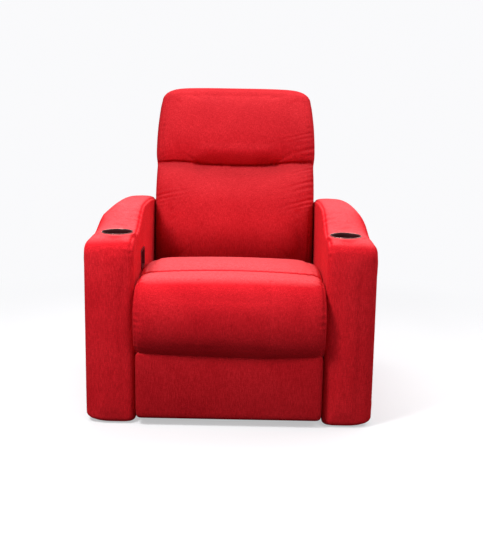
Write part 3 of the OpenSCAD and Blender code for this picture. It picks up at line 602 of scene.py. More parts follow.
class Surface:
    """Nearest-point queries on a mesh."""

    def __init__(self, obj: Object) -> None:
        """Read the mesh."""
        polygons = [tuple(p.vertices) for p in obj.data.polygons]
        self.tree = BVHTree.FromPolygons([v.co.copy() for v in obj.data.vertices], polygons)

    def cast(self, path: Array, ahead: Sequence[float]) -> Array:
        """Move a path's points along one direction onto the surface.

        Args:
            path: Points outside the surface.
            ahead: Direction towards it.

        Returns:
            The points met; one that misses goes to the nearest point instead.
        """
        way = Vector(ahead)
        spots = [self.tree.ray_cast(Vector(p), way)[0] or self.tree.find_nearest(Vector(p))[0] for p in path]
        return np.array([tuple(p) for p in spots])

    def drop(self, path: Array) -> Array:
        """Move a path's points to the nearest points of the surface, where these are near."""
        spots = [self.tree.find_nearest(Vector(p), 0.08)[0] or Vector(p) for p in path]
        return np.array([tuple(p) for p in spots])


@dataclass
class Outline:
    """Closed side outline in Y and Z whose points know how far an end round reaches in."""

    points: list[Triple] = field(default_factory=list)

    def add(self, points: Sequence[Pair], start: float, end: float) -> None:
        """Add points in order, with shares that run from the start's to the end's."""
        last = max(1, len(points) - 1)
        self.points += [(p[0], p[1], start + (end - start) * i / last) for i, p in enumerate(points)]

    def normals(self) -> Array:
        """Return the outward normal at each point of the counterclockwise outline."""
        p = np.array(self.points)[:, :2]
        turn = np.array([[0.0, -1.0], [1.0, 0.0]])
        total = np.zeros_like(p)
        for step in (p - np.roll(p, 1, 0), np.roll(p, -1, 0) - p):
            side = step @ turn
            total += side / np.linalg.norm(side, axis=1, keepdims=True)
        return total / np.linalg.norm(total, axis=1, keepdims=True)


@dataclass(frozen=True)
class Station:
    """Place across a padded form, with how far its outline is drawn in there."""

    x: float
    inset: float
    crown: float


def stations(a: float, b: float, round_a: float, round_b: float, steps: int, mids: int) -> list[Station]:
    """Return stations across a padded form.

    Args:
        a: First end.
        b: Last end.
        round_a: Radius of the round at the first end.
        round_b: Radius of the round at the last end.
        steps: Steps of each round.
        mids: Steps of the flat between them.

    Returns:
        The stations in order.
    """
    quarter = [math.pi / 2 * j / steps for j in range(steps + 1)]
    head = [Station(a + round_a - round_a * math.sin(t), round_a * (1 - math.cos(t)), 0.0)
            for t in reversed(quarter)]
    flat = b - round_b - a - round_a
    middle = [Station(a + round_a + flat * i / mids, 0.0, 4 * i / mids * (1 - i / mids))
              for i in range(1, mids)]
    tail = [Station(b - round_b + round_b * math.sin(t), round_b * (1 - math.cos(t)), 0.0) for t in quarter]
    return head + middle + tail


def skin(name: str, rings: Sequence[Array], closed: bool = False) -> Object:
    """Join rings of equal length into a solid.

    Args:
        name: Name of the object.
        rings: Arrays of points.
        closed: Whether the last ring joins the first one; otherwise a flat cap closes each end.

    Returns:
        The solid.
    """
    count = len(rings[0])
    total = count * len(rings)
    faces = []
    for k in range(len(rings) if closed else len(rings) - 1):
        for i in range(count):
            j = (i + 1) % count
            corners = (k * count + i, k * count + j, (k + 1) * count + j, (k + 1) * count + i)
            faces.append(tuple(v % total for v in corners))
    if not closed:
        faces.append(tuple(reversed(range(count))))
        faces.append(tuple(range(total - count, total)))
    return Mesh.build(name, np.concatenate(rings), faces)


def padded_form(name: str, outline: Outline, spots: Sequence[Station], crown: float = 0.0,
                near: Optional[Callable[[Array], Array]] = None, middle: float = 0.0) -> Object:
    """Loft an outline across the chair, drawn in at both ends and crowned up and forward.

    Args:
        name: Name of the object.
        outline: Side outline.
        spots: Stations across.
        crown: Height of the crown.
        near: Makes the shares of the end nearer the chair's middle from the outline's own.
        middle: Distance from the chair's middle up to which these hold.

    Returns:
        The closed object.
    """
    p, n = np.array(outline.points), outline.normals()
    rings = []
    for s in spots:
        reach = s.inset * (near(p[:, 2]) if near and abs(s.x) < middle else p[:, 2])
        y = p[:, 0] - n[:, 0] * reach + crown * s.crown * np.minimum(0, n[:, 0])
        z = p[:, 1] - n[:, 1] * reach + crown * s.crown * np.maximum(0, n[:, 1])
        rings.append(rows(s.x, y, z))
    return skin(name, rings)


# Sewing

@dataclass(frozen=True)
class Seam:
    """A kind of sewn line over a padded surface, with or without gathers."""

    depth: float
    width: float
    pucker: float = 0.0
    reach: float = 0.03
    pitch: float = 0.017
    spacing: float = 0.0015

    def press(self, obj: Object, path: Array) -> None:
        """Sink a line into the surface, with gathers that fade away from it.

        Args:
            obj: The dense padded mesh.
            path: Points of the line.
        """
        points, normals = Mesh.points(obj), Mesh.normals(obj)
        along = travel(path)
        count = max(2, int(along[-1] / self.spacing))
        fine = np.linspace(0.0, along[-1], count)
        dense = rows(*(np.interp(fine, along, path[:, k]) for k in range(3)))
        tree = KDTree(count)
        for i, p in enumerate(dense):
            tree.insert(p, i)
        tree.balance()
        span = self.reach * 2.2 if self.pucker else self.width * 3
        near = np.all((points > dense.min(0) - span) & (points < dense.max(0) + span), axis=1)
        for i in np.nonzero(near)[0]:
            _, index, far = tree.find(points[i])
            if far > span:
                continue
            s = fine[index]
            drop = self.depth * math.exp(-(far / self.width) ** 2)
            if self.pucker:
                phase = 2 * math.pi * s / self.pitch + 1.7 * math.sin(s * 31.0)
                size = 0.6 + 0.4 * math.sin(s * 47.0 + 1.3)
                drop += self.pucker * size * math.sin(phase) * math.exp(-far / self.reach)
            points[i] -= normals[i] * drop
        Mesh.move(obj, points)


@dataclass
class Stitching:
    """A row of thread stitches laid on a surface, each thick in the middle and sunk at its ends."""

    name: str
    path: Array
    pitch: float = 0.0062
    length: float = 0.0044
    radius: float = 0.00055
    sides: int = 6
    sections: tuple[Triple, ...] = (
        (0.0, 0.45, -0.5), (0.25, 0.95, 0.3), (0.5, 1.05, 0.5), (0.75, 0.95, 0.3), (1.0, 0.45, -0.5))

    def lay(self, surface: Surface) -> Object:
        """Build the stitches on the surface under their path.

        Args:
            surface: Surface that the path lies on.

        Returns:
            One object with every stitch.
        """
        along = travel(self.path)
        points, faces = [], []
        for k in range(int(along[-1] / self.pitch)):
            ends = []
            for s in (k * self.pitch, k * self.pitch + self.length):
                at = Vector([float(np.interp(s, along, self.path[:, c])) for c in range(3)])
                place, normal, _, _ = surface.tree.find_nearest(at, 0.04)
                if place is not None:
                    ends.append((place + normal * self.radius * 0.4, normal))
            if len(ends) == 2:
                self.stitch(*ends, points, faces)
        return Mesh.build(self.name, points, faces)

    def stitch(self, start: tuple[Vector, Vector], end: tuple[Vector, Vector], points: list[Vector],
               faces: list[tuple[int, ...]]) -> None:
        """Add one stitch.

        Args:
            start: Place and normal of its first end.
            end: Place and normal of its last end.
            points: Points so far.
            faces: Faces so far.
        """
        up = (start[1] + end[1]).normalized()
        out = (end[0] - start[0]).normalized().cross(up).normalized()
        base, n = len(points), self.sides
        for share, thick, lift in self.sections:
            centre = start[0].lerp(end[0], share) + up * self.radius * lift
            for turn in (2 * math.pi * i / n for i in range(n)):
                points.append(centre + (out * math.cos(turn) + up * math.sin(turn)) * self.radius * thick)
        last = len(self.sections) - 1
        for low in range(base, base + last * n, n):
            faces += [(low + i, low + (i + 1) % n, low + n + (i + 1) % n, low + n + i) for i in range(n)]
        faces.append(tuple(base + i for i in reversed(range(n))))
        faces.append(tuple(base + last * n + i for i in range(n)))


# Padding

@dataclass
class Cover:
    """A closed form that is blown up as cloth with part of it held, and then sewn and dressed."""

    voxel: float = 0.0065
    smoothing: int = 3
    cap: float = 0.009
    pressure: float = 3.2
    stiffness: float = 15.0
    form: Optional[Object] = None
    start: Optional[Array] = None
    outward: Optional[Array] = None

    def outside(self) -> Object:
        """Return the closed form before it is blown up."""
        raise NotImplementedError

    def held(self, p: Array) -> Array:
        """Say which points the frame, the seams and the like hold."""
        raise NotImplementedError

    def kept(self, p: Array) -> Array:
        """Return the share of its swell that each point keeps."""
        return np.ones(len(p))

    def prepare(self) -> None:
        """Build the form with even faces."""
        form = Mesh.apply(self.outside(), "REMESH", mode="VOXEL", voxel_size=self.voxel)
        self.form = Mesh.relax(form, self.smoothing)

    def pin(self, frames: int) -> None:
        """Make the form cloth under pressure, with the held points pinned.

        Args:
            frames: Number of frames of the simulation.
        """
        self.start, self.outward = Mesh.points(self.form), Mesh.normals(self.form)
        group = self.form.vertex_groups.new(name="held")
        group.add(np.nonzero(self.held(self.start))[0].tolist(), 1.0, "REPLACE")
        mod = self.form.modifiers.new("cloth", "CLOTH")
        s = mod.settings
        s.quality = 4
        s.use_pressure = True
        s.uniform_pressure_force = self.pressure
        s.tension_stiffness = s.compression_stiffness = self.stiffness
        s.vertex_group_mass = "held"
        s.effector_weights.gravity = 0.0
        mod.point_cache.frame_start, mod.point_cache.frame_end = 1, frames

    def take(self) -> None:
        """Keep the blown shape, with no point drawn inward or moved further than the cap."""
        blown = self.form.evaluated_get(bpy.context.evaluated_depsgraph_get())
        shift = Mesh.points(blown) - self.start
        shift -= self.outward * np.minimum(0.0, np.sum(shift * self.outward, axis=1, keepdims=True))
        far = np.linalg.norm(shift, axis=1, keepdims=True)
        capped = self.cap * np.tanh(far / self.cap)
        shift *= np.divide(capped, far, out=np.zeros_like(far), where=far > 1e-9)
        shift *= self.kept(self.start)[:, None]
        self.form.modifiers.clear()
        self.form.vertex_groups.clear()
        Mesh.move(self.form, self.start + shift)

    def finish(self, finishes: Finishes) -> Object:
        """Refine the blown form and detail it.

        Args:
            finishes: The chair's finishes.

        Returns:
            The finished cover.
        """
        form = Mesh.finer(Mesh.relax(self.form, 2))
        self.detail(form, finishes)
        return form

    def detail(self, form: Object, finishes: Finishes) -> None:
        """Sew, trim and dress the form, and hide the CAD node it takes the place of."""
        raise NotImplementedError


def blow_up(covers: Sequence[Cover], frames: int = 20) -> None:
    """Blow up every cover in one run of frames.

    Args:
        covers: The prepared covers.
        frames: Length of the run.
    """
    for cover in covers:
        cover.pin(frames)
    for number in range(1, frames + 1):
        bpy.context.scene.frame_set(number)
    for cover in covers:
        cover.take()
    bpy.context.scene.frame_set(1)


# Seat

@dataclass
class SeatCushion(Cover):
    """Seat cushion: a top panel, lighter through the velvet's painted highlight, and a big front roll, sewn
    together across the top.
    """

    half: float = 0.3015
    nose_y: float = -0.4385
    nose_z: float = 0.2200
    nose_t: float = 0.128
    nose_reach: float = 0.099
    nose_power: float = 0.86
    roll_h: float = 0.2635
    puff: float = 0.011
    seat_h: float = 0.4795
    fall: float = 0.054
    rear_y: float = 0.1185
    deck_z: float = 0.3515
    seam_in: float = 0.165
    end_round: float = 0.044
    crown: float = 0.007
    groove: float = 0.008
    lip: float = 0.02
    side_limit: float = 0.2986
    arm_front: float = -0.400
    spread: float = 0.005
    sag_x: float = 0.16
    sag_reach: float = 0.17
    sag_depth: float = 0.013
    sag_top: float = 0.10
    tube_y: float = -0.352
    tube_fade: float = 0.023
    link_x: float = 0.243
    link_fade: float = 0.028
    link_gap: float = 0.0035
    free_drop: float = 0.030
    rear_push: float = 0.0125
    rear_bow: float = 0.0035
    rear_bow_half: float = 0.20
    rear_end: float = 0.010
    rear_end_run: Pair = (0.21, 0.05)
    rear_run: Pair = (0.070, 0.045)
    cross_half: float = 0.288
    cross_seam: Seam = Seam(0.0180, 0.0056, 0.0016, 0.02, 0.023)
    seam_grip: float = 0.006
    seam_deep: float = 0.03
    deck_grip: float = 0.012
    panel_places: Pair = (-0.098, 0.128)
    panel_seam: Seam = Seam(0.0011, 0.0035)
    end_place: float = 0.290
    end_seam: Seam = Seam(0.0024, 0.0035, 0.0011, 0.016, 0.021)
    stitch_back: float = 0.0065

    def outline(self) -> Outline:
        """Return the side outline, from the rear over the top and round the roll."""
        o = Outline()
        round_y = self.rear_y - self.lip
        seam = self.nose_y + self.seam_in
        o.add(arc((round_y, self.seat_h - self.fall - self.lip), self.lip, 0, 80, 4), 0.3, 0.6)
        run = [i / 14 for i in range(1, 15)]
        top = [(round_y + (seam + self.groove - round_y) * t, self.seat_h - self.fall * (1 - t) ** 1.5
                + self.puff * math.sin(math.pi * t) - (self.groove / 2 if t == 1 else 0)) for t in run]
        o.add(top, 0.6, 1.0)
        groove = self.seat_h - self.groove
        o.add([(seam, groove), (seam - 2 * self.groove, self.seat_h - self.groove / 5)], 1, 1)
        for a in (math.radians(90 + 6 * i) for i in range(31)):
            y = self.nose_y + self.nose_reach * (1 + bow(math.cos(a), self.nose_power))
            z = self.nose_z + self.roll_h / 2 * (1 + bow(math.sin(a), self.nose_power))
            # the end round reaches in most on the roll's top
            share = 0.40 + 0.60 * max(0.0, math.sin(a)) ** 1.3
            o.add([(y, z)], share, share)
        foot = self.nose_y + self.nose_t
        o.add([(foot - self.lip, self.nose_z)], 0.3, 0.3)
        o.add(arc((foot - self.lip / 2, self.nose_z + self.lip / 2), self.lip / 2, 280, 360, 4), 0.3, 0.3)
        o.add([(foot, self.deck_z), (round_y, self.deck_z), (self.rear_y, self.deck_z + self.lip)], 0.2, 0.2)
        return o

    def outside(self) -> Object:
        """Return the closed form before it is blown up."""
        spots = stations(-self.half, self.half, self.end_round, self.end_round, 8, 16)
        return padded_form("seat_cushion_cover", self.outline(), spots, self.crown)

    def held(self, p: Array) -> Array:
        """Say which points the seam and the frame hold."""
        seam = np.abs(p[:, 1] - self.nose_y - self.seam_in) < self.seam_grip
        under = (p[:, 2] < self.deck_z + self.deck_grip) & (p[:, 1] > self.nose_y + self.nose_t - self.lip)
        return under | (seam & (p[:, 2] > self.seat_h - self.seam_deep))

    def sag(self, p: Array) -> Array:
        """Return how far the roll's underside hangs at each point, most right of the middle.

        Args:
            p: Points of the cushion.

        Returns:
            One depth for each point.
        """
        across = 0.25 + 0.75 * bell(p[:, 0] - self.sag_x, self.sag_reach)
        depth = np.clip((self.nose_z + self.sag_top - p[:, 2]) / self.sag_top, 0, 1)
        return self.sag_depth * across * (depth * (p[:, 1] < self.nose_y + self.nose_t))

    def reach_back(self, p: Array) -> Array:
        """Return how far the rear edge swells towards the backrest, most at the rounded ends.

        Args:
            p: Points of the cushion.

        Returns:
            One distance for each point.
        """
        across = np.abs(p[:, 0])
        bend = self.rear_bow * np.clip(across / self.rear_bow_half, 0, 1) ** 2
        push = self.rear_push + bend + self.rear_end * ease(ramp(across, *self.rear_end_run))
        return push * ease(ramp(p[:, 1], *self.rear_run))

    def lowest(self, p: Array) -> Array:
        """Return how low the roll may hang at each point, above the open footrest's tube and links.

        Args:
            p: Points of the cushion.

        Returns:
            One height for each point.
        """
        back = np.clip((p[:, 1] - self.tube_y) / self.tube_fade + 1, 0, 1)
        out = np.clip((np.abs(p[:, 0]) - self.link_x) / self.link_fade + 1, 0, 1)
        return self.nose_z - self.link_gap - self.free_drop * (1 - ease(np.maximum(back, out)))

    def roll_line(self, x: float, start: float, end: float, inset: Triple) -> Array:
        """Return a line round the front of the roll.

        Args:
            x: Where it lies across.
            start: First angle in degrees.
            end: Last angle in degrees.
            inset: How far it is drawn back, in and up from the roll's round.

        Returns:
            Its points.
        """
        back, inward, up = inset
        angles = np.radians(np.linspace(start, end, 90))
        y = self.nose_y + back + (self.nose_reach - inward) * (1 + np.cos(angles))
        return rows(x, y, self.nose_z + up + (self.roll_h / 2 - inward * 2 / 3) * (1 + np.sin(angles)))

    def detail(self, form: Object, finishes: Finishes) -> None:
        """Press the seams, shape the underside and rear, dress the cushion and lay its stitches.

        Args:
            form: The cushion's mesh.
            finishes: The chair's finishes.
        """
        surface = Surface(form)
        x = np.linspace(-self.cross_half, self.cross_half, 120)
        above = rows(x, self.nose_y + self.seam_in, self.seat_h + 0.05)
        cross = surface.cast(above, (0.0, 0.0, -1.0))
        self.cross_seam.press(form, cross)
        for x in self.panel_places:
            self.panel_seam.press(form, surface.drop(self.roll_line(x, 112, 205, (-0.006, 0.0, 0.0))))
        for side in Side:
            line = self.roll_line(side.value * self.end_place, 95, 232, (0.010, 0.012, 0.006))
            self.end_seam.press(form, surface.drop(line))
        p = Mesh.points(form)
        # the roll may spread a little only in front of the arms
        limit = self.side_limit + self.spread * ease(np.clip((self.arm_front - p[:, 1]) / 0.010, 0, 1))
        p[:, 0] = np.clip(p[:, 0], -limit, limit)
        p[:, 2] -= self.sag(p)
        roll = p[:, 1] < self.nose_y + self.nose_t
        p[:, 2] = np.where(roll, np.maximum(p[:, 2], self.lowest(p)), p[:, 2])
        p[:, 1] += self.reach_back(p)
        sunk = (p[:, 2] < self.deck_z) & (p[:, 1] > self.nose_y + self.nose_t + 0.001)
        p[sunk, 2] = self.deck_z
        Mesh.move(form, p)
        Mesh.dress(form, Body.SEAT, Slot.UPHOLSTERY, finishes.seat_velvet)
        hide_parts("seat_cushion")
        stitches = Stitching("seat_seam_stitches", cross + (0.0, self.stitch_back, 0.0)).lay(Surface(form))
        Mesh.dress(stitches, Body.SEAT, Slot.UPHOLSTERY, finishes.thread)


# Backrest

@dataclass
class BackCover(Cover):
    """What cushion and shell of the backrest share, in the frame that leans with it.

    There X runs across, Y away from the sitter and Z along the lean.
    """

    pivot: Triple = (0.0, 0.152178, 0.311)
    lean: float = math.radians(14.0)
    half: float = 0.2965
    split: float = 0.055
    depth: float = 0.123
    foot: float = 0.040
    length: float = 0.7625
    seam: float = 0.469
    corner: float = 0.080
    top_round: float = 0.048
    taper: float = 0.014
    widen: float = 0.0
    widen_share: float = 0.15
    top_steps: int = 8

    @property
    def crest(self) -> float:
        """Return the height along the lean where the top round starts."""
        return self.length - self.top_round

    def to_chair(self, x: float | Array, y: float | Array, z: float | Array) -> Array:
        """Return points of the backrest's frame as rows in the chair's."""
        sin, cos = math.sin(self.lean), math.cos(self.lean)
        return rows(x, y * cos + z * sin + self.pivot[1], -y * sin + z * cos + self.pivot[2])

    def from_chair(self, p: Array) -> Array:
        """Return rows of the chair's frame as rows in the backrest's."""
        sin, cos = math.sin(self.lean), math.cos(self.lean)
        y, z = p[:, 1] - self.pivot[1], p[:, 2] - self.pivot[2]
        return rows(p[:, 0], y * cos - z * sin, y * sin + z * cos)

    def side(self, z: float) -> float:
        """Return the half width at a height along the lean."""
        above = max(0.0, (z - self.seam) / (self.crest - self.seam))
        wider = self.widen * min(1.0, above / self.widen_share)
        return self.half + wider - (self.taper + self.widen) * above ** 2

    def ring(self, z: float, half: float, full: float) -> Array:
        """Return one closed ring across at a height, with its half width and depth."""
        raise NotImplementedError

    def stack(self, full: float, inset: float, levels: Sequence[float]) -> list[Array]:
        """Return the rings from the foot over the rounded top.

        Args:
            full: Depth of the rings.
            inset: How far the lowest ring is drawn in.
            levels: Heights of the rings between the lowest one and the top round.

        Returns:
            The rings, lowest first.
        """
        rings = [self.ring(self.foot, self.half - inset, full - inset)]
        rings += [self.ring(z, self.side(z), full) for z in levels]
        for a in (math.pi / 2 * j / self.top_steps for j in range(1, self.top_steps + 1)):
            inward = 1 - math.cos(a)
            rings.append(self.ring(self.crest + self.top_round * math.sin(a),
                                   self.side(self.crest) - self.corner * inward,
                                   full - self.top_round * inward))
        return rings


@dataclass(frozen=True)
class Gather:
    """Small folds along one edge of the backrest, between two heights."""

    side: Side
    low: float
    high: float
    tilt: float


@dataclass
class BackCushion(BackCover):
    """Front cushion of the backrest: two full halves with a pulled-in cross seam and two tufts."""

    cap: float = 0.012
    pressure: float = 3.4
    widen: float = 0.0045
    bulge: float = 0.062
    belly: float = 0.30
    hang: float = 0.20
    hang_half: float = 0.17
    squares: Pair = (0.34, 0.40)
    seam_grip: float = 0.007
    frame_grip: float = 0.012
    side_limit: float = 0.2978
    tufts: Pair = (-0.128, 0.140)
    tuft_depth: float = 0.010
    tuft_size: Pair = (0.032, 0.020)
    fold_slope: float = 0.55
    fold_depth: float = 0.0048
    fold_width: float = 0.0065
    fold_length: float = 0.085
    fold_fade: float = 0.05
    under_depth: float = 0.0125
    under_reach: Pair = (0.026, 0.007)
    brow_height: float = 0.0060
    brow_place: float = 0.046
    brow_reach: float = 0.022
    gather_depth: float = 0.0062
    gather_pitch: float = 0.0185
    gather_reach: float = 0.048
    gather_fade: float = 0.03
    cross_seam: Seam = Seam(0.0085, 0.0050, 0.0010, 0.022, 0.021)
    edge_seam: Seam = Seam(0.0016, 0.0032, 0.0006, 0.014, 0.019)
    top_seam: Seam = Seam(0.0014, 0.0032)
    gathers: tuple[Gather, ...] = (Gather(Side.LEFT, 0.29, 0.40, 0.18), Gather(Side.LEFT, 0.475, 0.53, 0.3),
                                   Gather(Side.RIGHT, 0.27, 0.60, 0.30))
    seam_places: tuple[float, ...] = (-0.29, -0.185, -0.125, 0.0, 0.10, 0.145, 0.20, 0.285)
    seam_rises: tuple[float, ...] = (0.006, 0.006, -0.0015, -0.0045, -0.0025, 0.003, 0.008, 0.012)

    def seam_height(self, x: float | Array) -> float | Array:
        """Return the seam's height at places across: it hangs lower between the tufts."""
        return self.seam + np.interp(x, self.seam_places, self.seam_rises)

    def fullness(self, x: Array, z: float) -> Array:
        """Return how full the cushion is at places across it, from 0 to 1.

        Args:
            x: Places across.
            z: Height along the lean.

        Returns:
            One value for each place.
        """
        seam = self.seam_height(x)
        below = np.clip((seam - z) / (seam - self.foot), 0, 1)
        above = np.clip((z - seam) / (self.length - seam), 0, 1)
        rise = np.sin(math.pi / 2 * np.minimum(1.0, below / self.belly)) ** 0.6
        fall = np.sqrt(1 - 0.97 * np.clip((below - self.belly) / (1 - self.belly), 0, 1) ** 2)
        # the upper half hangs over the seam most between the tufts
        hang = 1 - self.hang + self.hang * np.exp(-(np.abs(x) / self.hang_half) ** 4)
        high = np.sin(math.pi * above ** 0.62) ** 0.6 * hang
        return np.where(z < seam, rise * fall, high)

    def ring(self, z: float, half: float, full: float) -> Array:
        """Return one closed ring across the cushion, flat behind and full in front.

        Args:
            z: Height along the lean.
            half: Half width there.
            full: Middle depth, to which the fullness is added.

        Returns:
            The ring's points in the chair's frame.
        """
        turns = np.radians(np.linspace(180, 360, 81))
        square = self.squares[0] if z < self.seam else self.squares[1]
        x = half * bow(np.cos(turns), square)
        depth = full + self.bulge * (self.fullness(x, min(z, self.crest)) - 0.5)
        return self.to_chair(x, self.split + depth * bow(np.sin(turns), square + 0.06), z)

    def outside(self) -> Object:
        """Return the closed form before it is blown up."""
        levels = [self.foot + 0.005, *np.linspace(self.foot + 0.02, self.crest, 76)]
        return skin("back_cushion_cover", self.stack(self.depth - self.bulge / 2, 0.010, levels))

    def held(self, p: Array) -> Array:
        """Say which points the frame and the seam hold."""
        x, y, z = self.from_chair(p).T
        seam = (np.abs(z - self.seam_height(x)) < self.seam_grip) & (y < self.split - 0.03)
        return seam | (y > self.split - self.frame_grip)

    def tuft_folds(self, x: Array, z: Array) -> Array:
        """Return how far two hidden tufts draw the front in, with a fold up and out from each.

        Args:
            x: Places across.
            z: Heights along the lean.

        Returns:
            One depth for each point.
        """
        pull = np.zeros(len(x))
        length = math.hypot(1.0, self.fold_slope)
        for x0, side in zip(self.tufts, Side):
            dx, dz = side.value * (x - x0), z - self.seam_height(x0)
            pull += self.tuft_depth * bell(dx, self.tuft_size[0]) * bell(dz, self.tuft_size[1])
            along = (dx + self.fold_slope * dz) / length
            across = (dz - self.fold_slope * dx) / length
            run = ramp(along, 0.0, 0.010) * np.clip((self.fold_length - along) / self.fold_fade, 0, 1)
            pull += self.fold_depth * run * bell(across, self.fold_width)
        return pull

    def overhang(self, x: Array, z: Array) -> Array:
        """Return how far the seam is drawn in under the upper half, between the tufts.

        Args:
            x: Places across.
            z: Heights along the lean.

        Returns:
            One depth for each point, below 0 where the upper half stands out.
        """
        left, right = self.tufts
        inside = ramp(x, left - 0.03, 0.06) * np.clip((right + 0.03 - x) / 0.06, 0, 1)
        rise = z - self.seam_height(x)
        over, below = self.under_reach
        under = np.where(rise > 0, bell(rise, over), bell(rise, below))
        brow = bell(rise - self.brow_place, self.brow_reach)
        return inside * (self.under_depth * under - self.brow_height * brow)

    def edge_folds(self, x: Array, z: Array) -> Array:
        """Return the depth of the gathers along both edges.

        Args:
            x: Places across.
            z: Heights along the lean.

        Returns:
            One depth for each point.
        """
        pull = np.zeros(len(x))
        for g in self.gathers:
            sign = g.side.value
            edge = np.exp(-(self.half - sign * x) / self.gather_reach) * (sign * x > 0)
            fade = self.gather_fade
            window = ramp(z, g.low, fade) * np.clip((g.high - z) / fade, 0, 1)
            level = z - g.tilt * (x - sign * self.half)
            phase = level * 2 * math.pi / self.gather_pitch + 2.2 * np.sin(level * 41.0)
            size = self.gather_depth * (0.6 + 0.4 * np.sin(level * 97.0))
            pull += size * edge * window * (0.5 + 0.5 * np.cos(phase)) ** 1.6
        return pull

    def detail(self, form: Object, finishes: Finishes) -> None:
        """Pull the tufts and folds in, press the seams and dress the cushion.

        Args:
            form: The cushion's mesh.
            finishes: The chair's finishes.
        """
        surface = Surface(form)
        ends = self.to_chair(0.0, np.array([0.0, 1.0]), 0.0)
        back = ends[1] - ends[0]
        points = Mesh.points(form)
        x, y, z = self.from_chair(points).T
        front = np.clip((self.split - 0.02 - y) / 0.03, 0, 1)
        pull = self.tuft_folds(x, z) + self.overhang(x, z) + self.edge_folds(x, z)
        Mesh.move(form, points + (pull * front)[:, None] * back)
        x = np.linspace(-self.half + 0.004, self.half - 0.004, 160)
        ahead = self.to_chair(x, self.split - 2 * self.depth, self.seam_height(x))
        self.cross_seam.press(form, Surface(form).cast(ahead, back))
        z = np.linspace(self.foot + 0.03, self.crest, 90)
        for side in Side:
            x = np.array([side.value * (self.side(v) - 0.013) for v in z])
            self.edge_seam.press(form, surface.drop(self.to_chair(x, self.split - self.depth + 0.028, z)))
        half = self.side(self.crest) - 0.045
        x = np.linspace(-half, half, 90)
        top = self.to_chair(x, self.split - self.depth + 0.040, self.length - 0.008)
        self.top_seam.press(form, surface.drop(top))
        x, y, z = self.from_chair(Mesh.points(form)).T
        # above the arms the cushion may be a little wider than between them
        wide = self.side_limit + self.widen * ramp(z, self.seam, 0.04)
        Mesh.move(form, self.to_chair(np.clip(x, -wide, wide), np.minimum(y, self.split), z))
        Mesh.dress(form, Body.BACKREST, Slot.UPHOLSTERY, finishes.back_velvet)
        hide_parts("back_cushion")


@dataclass
class BackShell(BackCover):
    """Upholstered rear of the backrest, hollow in front for its frame."""

    voxel: float = 0.008
    cap: float = 0.004
    pressure: float = 2.5
    half: float = 0.2945
    split: float = 0.0553
    depth: float = 0.069
    foot: float = 0.0295
    corner: float = 0.060
    top_round: float = 0.046
    taper: float = 0.016
    cavity_half: float = 0.2655
    cavity_depth: float = 0.0466
    cavity_top: float = 0.718
    square: float = 0.3
    frame_grip: float = 0.01
    foot_grip: float = 0.012
    edge_seam: Seam = Seam(0.002, 0.0035, 0.0005, 0.014, 0.02)
    cross_seam: Seam = Seam(0.0022, 0.004, 0.0006, 0.02, 0.024)
    cross_levels: Pair = (0.30, 0.60)

    def ring(self, z: float, half: float, full: float) -> Array:
        """Return one closed ring at a height, flat in front and rounded behind."""
        turns = np.radians(np.linspace(0, 180, 61))
        x, y = half * bow(np.cos(turns), self.square), full * bow(np.sin(turns), self.square)
        return self.to_chair(x, self.split + y, z)

    def outside(self) -> Object:
        """Return the closed form before it is blown up."""
        levels = np.linspace(self.foot + 0.004, self.crest, 30)
        return skin("back_shell_cover", self.stack(self.depth, 0.004, levels))

    def held(self, p: Array) -> Array:
        """Say which points the frame holds."""
        _, y, z = self.from_chair(p).T
        return (y < self.split + self.frame_grip) | (z < self.foot + self.foot_grip)

    def detail(self, form: Object, finishes: Finishes) -> None:
        """Press the shell's seams, hollow it and dress it.

        Args:
            form: The shell's mesh.
            finishes: The chair's finishes.
        """
        surface = Surface(form)
        rear = self.split + self.depth
        z = np.linspace(self.foot + 0.01, self.crest - 0.004, 90)
        for side in Side:
            x = np.array([side.value * (self.side(v) - 0.016) for v in z])
            self.edge_seam.press(form, surface.drop(self.to_chair(x, rear - 0.006, z)))
        x = np.linspace(-self.half + 0.02, self.half - 0.02, 120)
        for level in self.cross_levels:
            self.cross_seam.press(form, surface.drop(self.to_chair(x, rear, level)))
        x, y, z = self.from_chair(Mesh.points(form)).T
        Mesh.move(form, self.to_chair(x, np.maximum(y, self.split), z))
        corners = np.array([(x, y, z) for x in (-self.cavity_half, self.cavity_half)
                            for y in (self.split - 0.01, self.split + self.cavity_depth)
                            for z in (self.foot - 0.01, self.cavity_top)])
        Mesh.cut(form, Mesh.build("cavity", self.to_chair(*corners.T), Mesh.BOX))
        Mesh.dress(form, Body.BACKREST, Slot.UPHOLSTERY, finishes.velvet)
        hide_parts("back_shell")


# Arms

